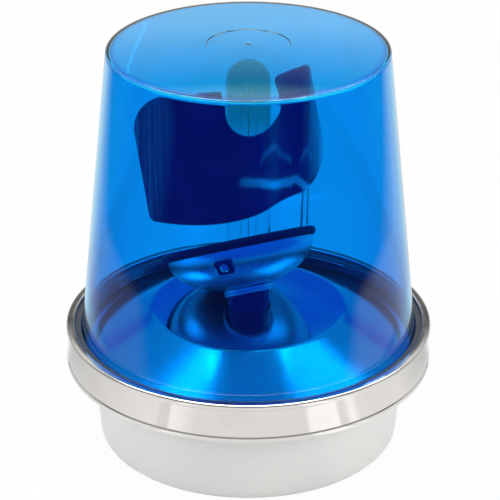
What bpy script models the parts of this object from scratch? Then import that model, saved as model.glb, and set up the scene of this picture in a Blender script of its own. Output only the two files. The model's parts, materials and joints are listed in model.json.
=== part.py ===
"""Rotating beacon light: a clear coloured dome on a cast base, with a reflector that turns round a lamp.

Everything is in metres, +Z up. The origin is the centre of the base's underside, on the axis that the
reflector turns about. Seen from -Y the reflector stands as it does at rest.
"""

import math

import bmesh
import bpy
from mathutils import Matrix, Vector

# Fits shared by many pieces
SEAT_GAP = 0.0003
RUNNING_GAP = 0.0003
CUT_OVERRUN = 0.001
ROUND_STEPS = 48
SMALL_STEPS = 24
SCREW_STEPS = 12

# Base housing: a cast bowl with a flange at its mouth
BASE_HEIGHT = 0.0496
BASE_FLANGE_RADIUS = 0.0841
BASE_NECK_INSET = 0.0105
BASE_FOOT_TAPER = 0.0033
BASE_MOUTH_INSET = 0.0133
BASE_NECK_DROP = 0.0106
BASE_FOOT_FILLET = 0.0040
BASE_FILLET_STEPS = 3
BASE_WALL = 0.0032
BASE_FLOOR = 0.0040
BASE_FLANGE_THICKNESS = 0.0040
BASE_FLANGE_EDGE = 0.0005
BASE_FLANGE_SLOPE = 0.0012
KNOCKOUT_RADIUS = 0.0111
KNOCKOUT_GROOVE_WIDTH = 0.0008
KNOCKOUT_GROOVE_DEPTH = 0.0008
MOUNT_HOLE_RADIUS = 0.0026
MOUNT_HOLE_SPACING = 0.0889

# Bosses that carry the mechanism plate
BOSS_COUNT = 3
BOSS_RADIUS = 0.0042
BOSS_INSET = 0.0166
BOSS_FIRST_ANGLE = 30.0
BOSS_BORE_DEPTH = 0.0120

# Mechanism plate
PLATE_DROP = 0.0136
PLATE_THICKNESS = 0.0016
PLATE_EDGE_MARGIN = 0.0055
PLATE_CENTRE_HOLE_RADIUS = 0.0062
PLATE_SHAFT_HOLE_RADIUS = 0.0040

# Machine screws of the mechanism
SCREW_RADIUS = 0.0015
SCREW_CLEARANCE = 0.0003
SCREW_HEAD_RADIUS = 0.0030
SCREW_HEAD_HEIGHT = 0.0020
SCREW_SLOT_WIDTH = 0.0008
SCREW_SLOT_DEPTH = 0.0008
PLATE_SCREW_LENGTH = 0.0095
NUT_RADIUS = 0.0032
NUT_HEIGHT = 0.0024

# Gear pair
GEAR_MODULE_SHARE = 0.013587
DRIVE_TEETH = 60
PINION_TEETH = 15
ADDENDUM_SHARE = 0.90
DEDENDUM_SHARE = 1.25
TOOTH_TIP_SHARE = 0.24
TOOTH_ROOT_SHARE = 0.60
DRIVE_GEAR_RISE = 0.0124
DRIVE_GEAR_WIDTH = 0.0060
PINION_INSET = 0.0004
GEAR_WINDOW_COUNT = 5
GEAR_WINDOW_SHARE = 0.305
GEAR_WINDOW_STEPS = 16

# Motor under the plate
MOTOR_RADIUS_SHARE = 0.32
MOTOR_LENGTH = 0.0200
MOTOR_EDGE = 0.0012
MOTOR_EAR_THICKNESS = 0.0016
MOTOR_EAR_WIDTH = 0.0090
MOTOR_EAR_LENGTH = 0.0085
MOTOR_EAR_HOLE_INSET = 0.0040
MOTOR_SCREW_LENGTH = 0.0070
SHAFT_RADIUS = 0.0020
SHAFT_SOCKET_DEPTH = 0.0060
SHAFT_TOP_REACH = 0.0012

# Lamp: a tubular lamp with a two-pin bayonet base
LAMP_RADIUS = 0.0103
LAMP_WALL = 0.0006
LAMP_TIP_HEIGHT = 0.1855
LAMP_SHOULDER_RISE = 0.0105
LAMP_NECK_RADIUS = 0.0071
LAMP_BASE_RADIUS = 0.0075
LAMP_BASE_WALL = 0.0004
LAMP_BASE_LENGTH = 0.0250
LAMP_SEAT_HEIGHT = 0.0071
LAMP_TIP_GAP = 0.0039
LAMP_NECK_REACH = 0.0030
LAMP_TIP_STEPS = 4
LAMP_NECK_STEPS = 4
LAMP_PIN_RADIUS = 0.0009
LAMP_PIN_REACH = 0.0009
LAMP_PIN_HEIGHT = 0.0075
LAMP_CONTACT_THICKNESS = 0.0012
STEM_RADIUS = 0.0022
STEM_LENGTH = 0.0300
STEM_FOOT_RADIUS = 0.0052
STEM_FOOT_LENGTH = 0.0030
SUPPORT_WIRE_RADIUS = 0.0003
FILAMENT_RADIUS = 0.0004
FILAMENT_SPREAD = 0.0036
FILAMENT_OFFSET = 0.0009
FILAMENT_STEPS = 8
FILAMENT_TOP_INSET = 0.0150

# Lamp socket on the plate
SOCKET_RADIUS = 0.0086
SOCKET_WALL = 0.0007
SOCKET_LENGTH = 0.0270
SOCKET_FLANGE_RADIUS = 0.0165
SOCKET_FLANGE_THICKNESS = 0.0020
SOCKET_SCREW_REACH = 0.0127
SOCKET_SCREW_LENGTH = 0.0060
INSULATOR_THICKNESS = 0.0035
CONTACT_RADIUS = 0.0012
CONTACT_SPREAD = 0.0029
CONTACT_TAIL = 0.0060
CONTACT_REACH = 0.0018

# Sleeve that turns round the socket and carries the reflectors
SLEEVE_RADIUS = 0.0099
SLEEVE_STAND = 0.0047
SLEEVE_SHOULDER_RADIUS = 0.0150
SLEEVE_SHOULDER_THICKNESS = 0.0018
COLLAR_RADIUS = 0.0116
COLLAR_DROP = 0.0020
COLLAR_RISE = 0.0040
WASHER_THICKNESS = 0.0010
WASHER_RADIUS = 0.0095

# Lower reflector: a tilted bowl
BOWL_RIM_SHARE = 0.542
BOWL_DEPTH = 0.0190
BOWL_SHEET = 0.0012
BOWL_DECK_GAP = 0.00113
BOWL_TILT = 28.7
BOWL_TURN = 114.7
BOWL_BEAD_RADIUS = 0.0021
BOWL_ARC_STEPS = 8
BOWL_BEAD_STEPS = 5
BOWL_STEPS = 40

# Upper reflector: a curved sheet on two legs
HOOD_BOTTOM_SHARE = 0.647
HOOD_TIP_DROP = 0.0040
HOOD_SHEET = 0.0012
HOOD_WIDTH_SHARE = 1.357
HOOD_DEPTH_SHARE = 1.011
HOOD_LEFT_SHARE = 0.787
HOOD_FRONT_SHARE = 0.478
HOOD_LAMP_GAP = 0.0020
HOOD_PLAN_SHARES = (
    (0.000, 0.132), (0.112, 0.054), (0.236, 0.006), (0.360, 0.000), (0.461, 0.031),
    (0.551, 0.093), (0.624, 0.171), (0.680, 0.264), (0.736, 0.380), (0.798, 0.481),
    (0.871, 0.581), (0.938, 0.736), (0.989, 0.938), (1.000, 1.000),
)
HOOD_PLAN_STEPS = 3
HOOD_TOP_LEFT_SHARE = 0.50
HOOD_BOTTOM_LEFT_RADIUS = 0.0030
HOOD_BOTTOM_RIGHT_RADIUS = 0.0100
HOOD_LEFT_SLANT = 0.0064
HOOD_SLANT_START_SHARE = 1.02
HOOD_RIGHT_DROP = 0.0012
HOOD_RIGHT_SLANT = 0.0077
HOOD_RIGHT_SLANT_SHARE = 0.73
HOOD_RIGHT_BEND_RADIUS = 0.0300
HOOD_RIGHT_TOP_RADIUS = 0.0040
HOOD_CORNER_STEPS = 5
NOTCH_LEFT_SHARE = 0.97
NOTCH_RIGHT_SHARE = 1.41
NOTCH_LIP_RADIUS = 0.0015
NOTCH_DEPTH = 0.0230
NOTCH_LEFT_FLARE = 0.0023
NOTCH_LEFT_FLARE_DROP = 0.0045
NOTCH_RIGHT_FLARE = 0.0033
NOTCH_RIGHT_FLARE_DROP = 0.0120
NOTCH_FLARE_RADIUS = 0.0030
NOTCH_LEFT_RADIUS_SHARE = 0.61
NOTCH_RIGHT_RADIUS_SHARE = 0.35
LEG_RADIUS = 0.0008
LEG_OVERLAP = 0.0075
LEG_ANGLES = (16.0, 30.0)

# Clip on the lower reflector
CLIP_WIDTH = 0.0090
CLIP_HEIGHT = 0.0065
CLIP_THICKNESS = 0.0018
CLIP_AROUND = -99.0
CLIP_DROP = 0.0072
RIVET_RADIUS = 0.0012
RIVET_HEAD_RADIUS = 0.0022
RIVET_HEAD_HEIGHT = 0.0008

# Deck: the bright cover over the mechanism
DECK_THICKNESS = 0.0012
DECK_CLEARANCE = 0.0064
DECK_SKIRT_RUN = 0.0256
DECK_EDGE_RADIUS = 0.0015
DECK_EDGE_STEPS = 2
DECK_FOOT_WIDTH = 0.0061
DECK_GASKET_GAP = 0.0010
DECK_HOLE_GAP = 0.0005

# Dome and its gasket
DOME_TAPER = 0.0142
DOME_FLANGE_REACH = 0.0046
DOME_WALL = 0.0030
DOME_EDGE_RADIUS = 0.0022
DOME_EDGE_STEPS = 4
DOME_INNER_EDGE_RADIUS = 0.0012
DOME_FLANGE_INSET = 0.0015
DOME_FLANGE_THICKNESS = 0.0030
DOME_MARK_RADIUS = 0.0189
DOME_MARK_DEPTH = 0.0004
DOME_CROWN = 0.0022
DOME_CROWN_STEPS = 3
GASKET_LEG = 0.0015
GASKET_WEB = 0.0013
GASKET_WALL_GAP = 0.0006

# Clamp ring round the flanges
RING_CLEARANCE = 0.0004
RING_SHEET = 0.0008
RING_BEAD_REACH = 0.0004
RING_BEAD_RADIUS = 0.0011
RING_BEAD_STEPS = 3
RING_LIP_THICKNESS = 0.0012
RING_LIP_REACH = 0.0023
RING_DEPTH = 0.0190
RING_SPLIT = 0.0050
LUG_THICKNESS = 0.0016
LUG_HEIGHT = 0.0100
LUG_REACH = 0.0075
LUG_RAISE = 0.0045
CLAMP_SCREW_RADIUS = 0.0017
CLAMP_SCREW_HEAD_RADIUS = 0.0034
CLAMP_SCREW_HEAD_HEIGHT = 0.0024
CLAMP_SCREW_TAIL = 0.0060
CLAMP_NUT_SIZE = 0.0066
CLAMP_NUT_THICKNESS = 0.0026

# Wiring in the base
TERMINAL_LENGTH = 0.0240
TERMINAL_WIDTH = 0.0120
TERMINAL_HEIGHT = 0.0110
TERMINAL_INSET = 0.0303
TERMINAL_WELL_RADIUS = 0.0026
TERMINAL_WELL_DEPTH = 0.0040
TERMINAL_SPACING = 0.0110
TERMINAL_SCREW_RADIUS = 0.0021
TERMINAL_SCREW_HEIGHT = 0.0025
EARTH_SCREW_INSET = 0.0223
EARTH_SCREW_ANGLE = -60.0
EARTH_SCREW_RADIUS = 0.0028
EARTH_SCREW_HEIGHT = 0.0030
LEAD_RADIUS = 0.0008
LEAD_SIDE_ENTRY = 0.0030
LEAD_RUN = 0.0120
LEAD_DROP = 0.0060
LEAD_SPREAD = 0.0070
MOTOR_LEAD_SPREAD = 0.0120

# Sizes that follow from those above
BASE_NECK_RADIUS = BASE_FLANGE_RADIUS - BASE_NECK_INSET
BASE_NECK_HEIGHT = BASE_HEIGHT - BASE_NECK_DROP
BASE_FOOT_RADIUS = BASE_NECK_RADIUS - BASE_FOOT_TAPER
BASE_FLANGE_INNER_RADIUS = BASE_FLANGE_RADIUS - BASE_MOUTH_INSET
TERMINAL_REACH = BASE_FOOT_RADIUS - TERMINAL_INSET
EARTH_SCREW_REACH = BASE_FOOT_RADIUS - EARTH_SCREW_INSET
BOSS_CIRCLE_RADIUS = BASE_NECK_RADIUS - BOSS_INSET
PLATE_HEIGHT = BASE_HEIGHT - PLATE_DROP
PLATE_RADIUS = BOSS_CIRCLE_RADIUS + PLATE_EDGE_MARGIN
GEAR_MODULE = BASE_NECK_RADIUS * GEAR_MODULE_SHARE
MOTOR_RADIUS = BASE_NECK_RADIUS * MOTOR_RADIUS_SHARE
MOTOR_EAR_REACH = MOTOR_RADIUS + MOTOR_EAR_LENGTH
MOTOR_EAR_HOLE_REACH = MOTOR_EAR_REACH - MOTOR_EAR_HOLE_INSET
DOME_FLANGE_RADIUS = BASE_FLANGE_RADIUS - DOME_FLANGE_INSET
DOME_FOOT_WALL_RADIUS = DOME_FLANGE_RADIUS - DOME_FLANGE_REACH
DOME_TOP_RADIUS = DOME_FOOT_WALL_RADIUS - DOME_TAPER
GASKET_LIP_INNER_RADIUS = DOME_FOOT_WALL_RADIUS + GASKET_WALL_GAP
RING_LIP_INNER_RADIUS = BASE_FLANGE_RADIUS - RING_LIP_REACH
DECK_FOOT_RADIUS = GASKET_LIP_INNER_RADIUS - DECK_GASKET_GAP
DECK_SKIRT_RADIUS = DECK_FOOT_RADIUS - DECK_FOOT_WIDTH
DECK_TOP_RADIUS = DECK_SKIRT_RADIUS - DECK_SKIRT_RUN
GASKET_BOTTOM = BASE_HEIGHT + SEAT_GAP
DOME_BOTTOM = GASKET_BOTTOM + GASKET_LEG + SEAT_GAP
DOME_FLANGE_TOP = DOME_BOTTOM + DOME_FLANGE_THICKNESS
DOME_TOP = LAMP_TIP_HEIGHT + LAMP_TIP_GAP + DOME_WALL
GASKET_TOP = DOME_FLANGE_TOP + SEAT_GAP + GASKET_LEG
RING_TOP = GASKET_TOP + SEAT_GAP + RING_LIP_THICKNESS
RING_BOTTOM = RING_TOP - RING_DEPTH
RING_INNER_RADIUS = BASE_FLANGE_RADIUS + RING_CLEARANCE
RING_BAND_RADIUS = RING_INNER_RADIUS + RING_SHEET
GASKET_RADIUS = DOME_FLANGE_RADIUS + SEAT_GAP + GASKET_WEB
PLATE_TOP = PLATE_HEIGHT + PLATE_THICKNESS
MOTOR_TOP = PLATE_HEIGHT - SEAT_GAP
MOTOR_AXIS = GEAR_MODULE * (DRIVE_TEETH + PINION_TEETH) / 2
DRIVE_GEAR_HEIGHT = PLATE_TOP + DRIVE_GEAR_RISE
SHAFT_TOP = DRIVE_GEAR_HEIGHT + DRIVE_GEAR_WIDTH + SHAFT_TOP_REACH
DECK_TOP_HEIGHT = SHAFT_TOP + DECK_CLEARANCE + DECK_THICKNESS
BOWL_RIM_RADIUS = DOME_TOP_RADIUS * BOWL_RIM_SHARE
BOWL_LEAN = BOWL_DEPTH * math.cos(math.radians(BOWL_TILT))
BOWL_DIP = math.hypot(BOWL_LEAN, BOWL_RIM_RADIUS * math.sin(math.radians(BOWL_TILT))) - BOWL_LEAN
BOWL_POLE_HEIGHT = DECK_TOP_HEIGHT + BOWL_DECK_GAP + BOWL_DIP
SLEEVE_TOP_HEIGHT = BOWL_POLE_HEIGHT + SLEEVE_STAND
LAMP_SHOULDER_HEIGHT = SLEEVE_TOP_HEIGHT + LAMP_SHOULDER_RISE
SOCKET_BOTTOM = PLATE_TOP + SEAT_GAP
SOCKET_FLANGE_TOP = SOCKET_BOTTOM + SOCKET_FLANGE_THICKNESS
LAMP_BOTTOM = SOCKET_BOTTOM + LAMP_SEAT_HEIGHT
LAMP_BASE_TOP = LAMP_BOTTOM + LAMP_BASE_LENGTH
SLEEVE_BORE = SOCKET_RADIUS + RUNNING_GAP
SLEEVE_BOTTOM = SOCKET_FLANGE_TOP + WASHER_THICKNESS + SEAT_GAP + RUNNING_GAP
HOOD_TOP_HEIGHT = LAMP_TIP_HEIGHT - HOOD_TIP_DROP
HOOD_BOTTOM_HEIGHT = LAMP_TIP_HEIGHT * HOOD_BOTTOM_SHARE
HOOD_HEIGHT = HOOD_TOP_HEIGHT - HOOD_BOTTOM_HEIGHT
HOOD_WIDTH = DOME_TOP_RADIUS * HOOD_WIDTH_SHARE
HOOD_DEPTH = DOME_TOP_RADIUS * HOOD_DEPTH_SHARE
HOOD_LEFT = DOME_TOP_RADIUS * HOOD_LEFT_SHARE
HOOD_FRONT = DOME_TOP_RADIUS * HOOD_FRONT_SHARE
NOTCH_LEFT = LAMP_RADIUS * NOTCH_LEFT_SHARE
NOTCH_RIGHT = LAMP_RADIUS * NOTCH_RIGHT_SHARE
CORE_HOLE_RADIUS = SLEEVE_RADIUS + RUNNING_GAP

FINISHES = {
    "cast_paint": ((0.66, 0.66, 0.65), 0.0, 0.45),
    "polished_steel": ((0.78, 0.76, 0.73), 1.0, 0.12),
    "blue_dome": ((0.01, 0.32, 0.90), 0.0, 0.05),
    "dark_rubber": ((0.05, 0.05, 0.06), 0.0, 0.75),
    "bright_deck": ((0.80, 0.82, 0.84), 1.0, 0.15),
    "dark_gloss": ((0.03, 0.03, 0.05), 0.6, 0.12),
    "bright_bowl": ((0.82, 0.83, 0.85), 1.0, 0.10),
    "plated_steel": ((0.62, 0.61, 0.58), 1.0, 0.35),
    "nylon": ((0.82, 0.81, 0.76), 0.0, 0.5),
    "brass": ((0.74, 0.58, 0.28), 1.0, 0.3),
    "clear_glass": ((0.92, 0.95, 0.96), 0.0, 0.03),
    "tungsten": ((0.35, 0.33, 0.30), 1.0, 0.4),
    "black_plastic": ((0.04, 0.04, 0.04), 0.0, 0.4),
    "black_lead": ((0.03, 0.03, 0.03), 0.0, 0.5),
    "white_lead": ((0.80, 0.80, 0.78), 0.0, 0.5),
}

for old in list(bpy.data.objects):
    bpy.data.objects.remove(old)

parts = bpy.data.collections.new("rotating_beacon_light")
cutters = bpy.data.collections.new("cutters")
bpy.context.scene.collection.children.link(parts)
bpy.context.scene.collection.children.link(cutters)


def finish(name):
    """Returns the named finish as a material, made the first time it is asked for."""
    if name in bpy.data.materials:
        return bpy.data.materials[name]
    colour, metallic, roughness = FINISHES[name]
    material = bpy.data.materials.new(name)
    material.use_nodes = True
    shader = material.node_tree.nodes["Principled BSDF"]
    shader.inputs["Base Color"].default_value = (*colour, 1)
    shader.inputs["Metallic"].default_value = metallic
    shader.inputs["Roughness"].default_value = roughness
    return material


def place(obj, finish_name):
    """Puts a piece in the parts collection with its finish."""
    for home in list(obj.users_collection):
        home.objects.unlink(obj)
    parts.objects.link(obj)
    obj.data.materials.clear()
    obj.data.materials.append(finish(finish_name))
    return obj


def hide(obj):
    """Makes an object a cutter: a guide that is not part of the model."""
    for home in list(obj.users_collection):
        home.objects.unlink(obj)
    cutters.objects.link(obj)
    obj.hide_render = True
    obj.display_type = "WIRE"
    return obj


def arc(centre_r, centre_z, radius, start, end, steps):
    """Points of a profile's arc, from one angle to another in degrees."""
    points = []
    for step in range(steps + 1):
        angle = math.radians(start + (end - start) * step / steps)
        points.append((centre_r + radius * math.cos(angle), centre_z + radius * math.sin(angle)))
    return points


def turned(name, outline, steps=ROUND_STEPS, closed=True):
    """A profile of (radius, height) points turned about Z; a closed one is a ring's section."""
    mesh = bpy.data.meshes.new(name)
    edges = [(i, i + 1) for i in range(len(outline) - 1)]
    if closed:
        edges.append((len(outline) - 1, 0))
    mesh.from_pydata([(radius, 0, height) for radius, height in outline], edges, [])
    obj = bpy.data.objects.new(name, mesh)
    bpy.context.scene.collection.objects.link(obj)
    screw = obj.modifiers.new("turn", "SCREW")
    screw.steps = steps
    screw.render_steps = steps
    screw.use_merge_vertices = True
    screw.merge_threshold = 0.000005
    return obj


def cylinder(name, radius, low, high, at=(0, 0), steps=SMALL_STEPS):
    """A round bar along Z between two heights."""
    mesh = bpy.data.meshes.new(name)
    shape = bmesh.new()
    bmesh.ops.create_cone(shape, cap_ends=True, segments=steps, radius1=radius, radius2=radius,
                          depth=high - low)
    bmesh.ops.translate(shape, verts=shape.verts, vec=(0, 0, (low + high) / 2))
    shape.to_mesh(mesh)
    shape.free()
    obj = bpy.data.objects.new(name, mesh)
    bpy.context.scene.collection.objects.link(obj)
    obj.location = (*at, 0)
    return obj


def box(name, low, high):
    """A box between two corners, its object placed at its centre."""
    mesh = bpy.data.meshes.new(name)
    shape = bmesh.new()
    bmesh.ops.create_cube(shape, size=1)
    size = [b - a for a, b in zip(low, high)]
    bmesh.ops.scale(shape, verts=shape.verts, vec=size)
    shape.to_mesh(mesh)
    shape.free()
    obj = bpy.data.objects.new(name, mesh)
    bpy.context.scene.collection.objects.link(obj)
    obj.location = [(a + b) / 2 for a, b in zip(low, high)]
    return obj


def combine(target, other, operation):
    """Cuts, joins or trims a piece by another, which becomes a guide."""
    hide(other)
    change = target.modifiers.new(operation.lower(), "BOOLEAN")
    change.operation = operation
    change.object = other
    return target


def flat_outline(name, loops, thickness, height):
    """A flat plate from outlines in the XY plane: the first is its edge, the rest its holes."""
    curve = bpy.data.curves.new(name, "CURVE")
    curve.dimensions = "2D"
    curve.fill_mode = "BOTH"
    curve.extrude = thickness / 2
    for loop in loops:
        spline = curve.splines.new("POLY")
        spline.points.add(len(loop) - 1)
        for point, (x, y) in zip(spline.points, loop):
            point.co = (x, y, 0, 1)
        spline.use_cyclic_u = True
    obj = bpy.data.objects.new(name, curve)
    bpy.context.scene.collection.objects.link(obj)
    obj.location.z = height + thickness / 2
    return as_mesh(obj)


def as_mesh(obj):
    """Replaces a curve object by a welded mesh object of the same shape, name and place."""
    bpy.context.view_layer.update()
    graph = bpy.context.evaluated_depsgraph_get()
    mesh = bpy.data.meshes.new_from_object(obj.evaluated_get(graph))
    shape = bmesh.new()
    shape.from_mesh(mesh)
    bmesh.ops.remove_doubles(shape, verts=shape.verts, dist=0.000001)
    shape.to_mesh(mesh)
    shape.free()
    name = obj.name
    placed = obj.matrix_world.copy()
    bpy.data.objects.remove(obj)
    solid = bpy.data.objects.new(name, mesh)
    solid.matrix_world = placed
    bpy.context.scene.collection.objects.link(solid)
    return solid


def wire(name, points, radius, resolution=2):
    """A round wire along points, with filled ends."""
    curve = bpy.data.curves.new(name, "CURVE")
    curve.dimensions = "3D"
    curve.bevel_depth = radius
    curve.bevel_resolution = resolution
    curve.use_fill_caps = True
    spline = curve.splines.new("POLY")
    spline.points.add(len(points) - 1)
    for point, place_at in zip(spline.points, points):
        point.co = (*place_at, 1)
    obj = bpy.data.objects.new(name, curve)
    bpy.context.scene.collection.objects.link(obj)
    return obj


def circle(radius, steps, centre=(0, 0)):
    """Points round a circle in the XY plane."""
    turn = 2 * math.pi / steps
    return [(centre[0] + radius * math.cos(turn * i), centre[1] + radius * math.sin(turn * i))
            for i in range(steps)]


def polar(radius, angle):
    """A point in the XY plane from a radius and an angle in degrees."""
    return radius * math.cos(math.radians(angle)), radius * math.sin(math.radians(angle))


def smooth_path(points, steps):
    """A Catmull-Rom curve through points, with a number of steps from each to the next."""
    ends = [points[0], *points, points[-1]]
    path = []
    for i in range(1, len(ends) - 2):
        a, b, c, d = (Vector(p) for p in ends[i - 1:i + 3])
        for step in range(steps):
            t = step / steps
            path.append(0.5 * (2 * b + (c - a) * t + (2 * a - 5 * b + 4 * c - d) * t ** 2
                               + (3 * b - a - 3 * c + d) * t ** 3))
    path.append(Vector(points[-1]))
    return path


def screw(name, at, top, length, finish_name="plated_steel"):
    """A slotted cheese-head screw whose head stands on the height given."""
    head_top = top + SCREW_HEAD_HEIGHT
    outline = [
        (0, head_top), (SCREW_HEAD_RADIUS, head_top), (SCREW_HEAD_RADIUS, top),
        (SCREW_RADIUS, top), (SCREW_RADIUS, top - length), (0, top - length),
    ]
    obj = turned(name, outline, SCREW_STEPS, closed=False)
    obj.location = (*at, 0)
    slot = box(name + "_slot",
               (at[0] - SCREW_HEAD_RADIUS - CUT_OVERRUN, at[1] - SCREW_SLOT_WIDTH / 2,
                head_top - SCREW_SLOT_DEPTH),
               (at[0] + SCREW_HEAD_RADIUS + CUT_OVERRUN, at[1] + SCREW_SLOT_WIDTH / 2,
                head_top + CUT_OVERRUN))
    combine(obj, slot, "DIFFERENCE")
    return place(obj, finish_name)


# Places that several pieces share
BOSS_PLACES = [polar(BOSS_CIRCLE_RADIUS, BOSS_FIRST_ANGLE + 360 / BOSS_COUNT * i)
               for i in range(BOSS_COUNT)]
EAR_PLACES = [(-MOTOR_EAR_HOLE_REACH, MOTOR_AXIS), (MOTOR_EAR_HOLE_REACH, MOTOR_AXIS)]
SOCKET_SCREW_PLACES = [(-SOCKET_SCREW_REACH, 0), (SOCKET_SCREW_REACH, 0)]
TERMINAL_PLACES = [(-TERMINAL_SPACING / 2, -TERMINAL_REACH), (TERMINAL_SPACING / 2, -TERMINAL_REACH)]
EARTH_SCREW_PLACE = polar(EARTH_SCREW_REACH, EARTH_SCREW_ANGLE)
CONTACT_PLACES = [(0, -CONTACT_SPREAD), (0, CONTACT_SPREAD)]
SCREW_HOLE_RADIUS = SCREW_RADIUS + SCREW_CLEARANCE


def make_base():
    """The cast housing: a bowl with a flange, three bosses, mounting holes and a knockout."""
    fillet_height = BASE_FOOT_FILLET
    fillet = arc(BASE_FOOT_RADIUS - BASE_FOOT_FILLET, fillet_height, BASE_FOOT_FILLET, 0, -90,
                 BASE_FILLET_STEPS)
    flange_bottom = BASE_HEIGHT - BASE_FLANGE_THICKNESS
    inner_fillet = arc(BASE_FOOT_RADIUS - BASE_WALL - BASE_FLOOR, BASE_FLOOR + BASE_FLOOR,
                       BASE_FLOOR, -90, 0, BASE_FILLET_STEPS)
    outline = [(0, BASE_FLOOR), *inner_fillet,
               (BASE_NECK_RADIUS - BASE_WALL, BASE_NECK_HEIGHT),
               (BASE_FLANGE_INNER_RADIUS, flange_bottom),
               (BASE_FLANGE_INNER_RADIUS, BASE_HEIGHT),
               (BASE_FLANGE_RADIUS - BASE_FLANGE_EDGE, BASE_HEIGHT),
               (BASE_FLANGE_RADIUS, BASE_HEIGHT - BASE_FLANGE_EDGE),
               (BASE_FLANGE_RADIUS, flange_bottom),
               (BASE_NECK_RADIUS + BASE_WALL, flange_bottom - BASE_FLANGE_SLOPE),
               (BASE_NECK_RADIUS, BASE_NECK_HEIGHT), *fillet,
               (KNOCKOUT_RADIUS + KNOCKOUT_GROOVE_WIDTH, 0),
               (KNOCKOUT_RADIUS + KNOCKOUT_GROOVE_WIDTH / 2, KNOCKOUT_GROOVE_DEPTH),
               (KNOCKOUT_RADIUS, 0), (0, 0)]
    base = turned("base_housing", outline, closed=False)
    for i, at in enumerate(BOSS_PLACES):
        boss = cylinder(f"boss_{i + 1}", BOSS_RADIUS, BASE_FLOOR / 2, PLATE_HEIGHT - SEAT_GAP, at)
        combine(base, boss, "UNION")
        bore = cylinder(f"boss_bore_{i + 1}", SCREW_HOLE_RADIUS,
                        PLATE_HEIGHT - BOSS_BORE_DEPTH, PLATE_HEIGHT + CUT_OVERRUN, at, SCREW_STEPS)
        combine(base, bore, "DIFFERENCE")
    for side in (-1, 1):
        name = "mount_hole_left" if side < 0 else "mount_hole_right"
        hole = cylinder(name, MOUNT_HOLE_RADIUS, -CUT_OVERRUN, BASE_FLOOR + CUT_OVERRUN,
                        (side * MOUNT_HOLE_SPACING / 2, 0), SMALL_STEPS)
        combine(base, hole, "DIFFERENCE")
    place(base, "cast_paint")


def make_plate():
    """The round steel plate that holds the motor and the lamp socket."""
    loops = [circle(PLATE_RADIUS, ROUND_STEPS), circle(PLATE_CENTRE_HOLE_RADIUS, SMALL_STEPS),
             circle(PLATE_SHAFT_HOLE_RADIUS, SMALL_STEPS, (0, MOTOR_AXIS))]
    for at in BOSS_PLACES + EAR_PLACES + SOCKET_SCREW_PLACES:
        loops.append(circle(SCREW_HOLE_RADIUS, SCREW_STEPS, at))
    place(flat_outline("mechanism_plate", loops, PLATE_THICKNESS, PLATE_HEIGHT), "plated_steel")
    for i, at in enumerate(BOSS_PLACES):
        screw(f"plate_screw_{i + 1}", at, PLATE_TOP + SEAT_GAP, PLATE_SCREW_LENGTH)


def make_motor():
    """The motor can with two ears, its screws and nuts."""
    low = MOTOR_TOP - MOTOR_LENGTH
    bore = SHAFT_RADIUS + RUNNING_GAP
    outline = [(0, MOTOR_TOP - SHAFT_SOCKET_DEPTH), (bore, MOTOR_TOP - SHAFT_SOCKET_DEPTH),
               (bore, MOTOR_TOP), (MOTOR_RADIUS, MOTOR_TOP), (MOTOR_RADIUS, low + MOTOR_EDGE),
               (MOTOR_RADIUS - MOTOR_EDGE, low), (0, low)]
    motor = turned("motor", outline, 48, closed=False)
    motor.location = (0, MOTOR_AXIS, 0)
    for side, at in zip((-1, 1), EAR_PLACES):
        reach = sorted((side * (MOTOR_RADIUS - MOTOR_EDGE), side * MOTOR_EAR_REACH))
        ear = box("ear", (reach[0], MOTOR_AXIS - MOTOR_EAR_WIDTH / 2, MOTOR_TOP - MOTOR_EAR_THICKNESS),
                  (reach[1], MOTOR_AXIS + MOTOR_EAR_WIDTH / 2, MOTOR_TOP))
        combine(motor, ear, "UNION")
        hole = cylinder("ear_hole", SCREW_HOLE_RADIUS, MOTOR_TOP - MOTOR_EAR_THICKNESS - CUT_OVERRUN,
                        MOTOR_TOP + CUT_OVERRUN, at, SCREW_STEPS)
        combine(motor, hole, "DIFFERENCE")
    place(motor, "plated_steel")
    nut_top = MOTOR_TOP - MOTOR_EAR_THICKNESS - SEAT_GAP
    for i, at in enumerate(EAR_PLACES):
        screw(f"motor_screw_{i + 1}", at, PLATE_TOP + SEAT_GAP, MOTOR_SCREW_LENGTH)
        nut = flat_outline(f"motor_nut_{i + 1}",
                           [circle(NUT_RADIUS, 6), circle(SCREW_HOLE_RADIUS, SCREW_STEPS)],
                           NUT_HEIGHT, nut_top - NUT_HEIGHT)
        nut.location.x = at[0]
        nut.location.y = at[1]
        place(nut, "plated_steel")


def gear_outline(teeth, phase):
    """The edge of a spur gear: four points a tooth, in rising angle, the first tooth at the phase."""
    pitch_radius = GEAR_MODULE * teeth / 2
    tip = pitch_radius + ADDENDUM_SHARE * GEAR_MODULE
    root = pitch_radius - DEDENDUM_SHARE * GEAR_MODULE
    pitch = 2 * math.pi / teeth
    corners = [(root, -TOOTH_ROOT_SHARE / 2), (tip, -TOOTH_TIP_SHARE / 2),
               (tip, TOOTH_TIP_SHARE / 2), (root, TOOTH_ROOT_SHARE / 2)]
    points = []
    for tooth in range(teeth):
        for radius, share in corners:
            angle = math.radians(phase) + pitch * (tooth + share)
            points.append((radius * math.cos(angle), radius * math.sin(angle)))
    return points


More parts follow.
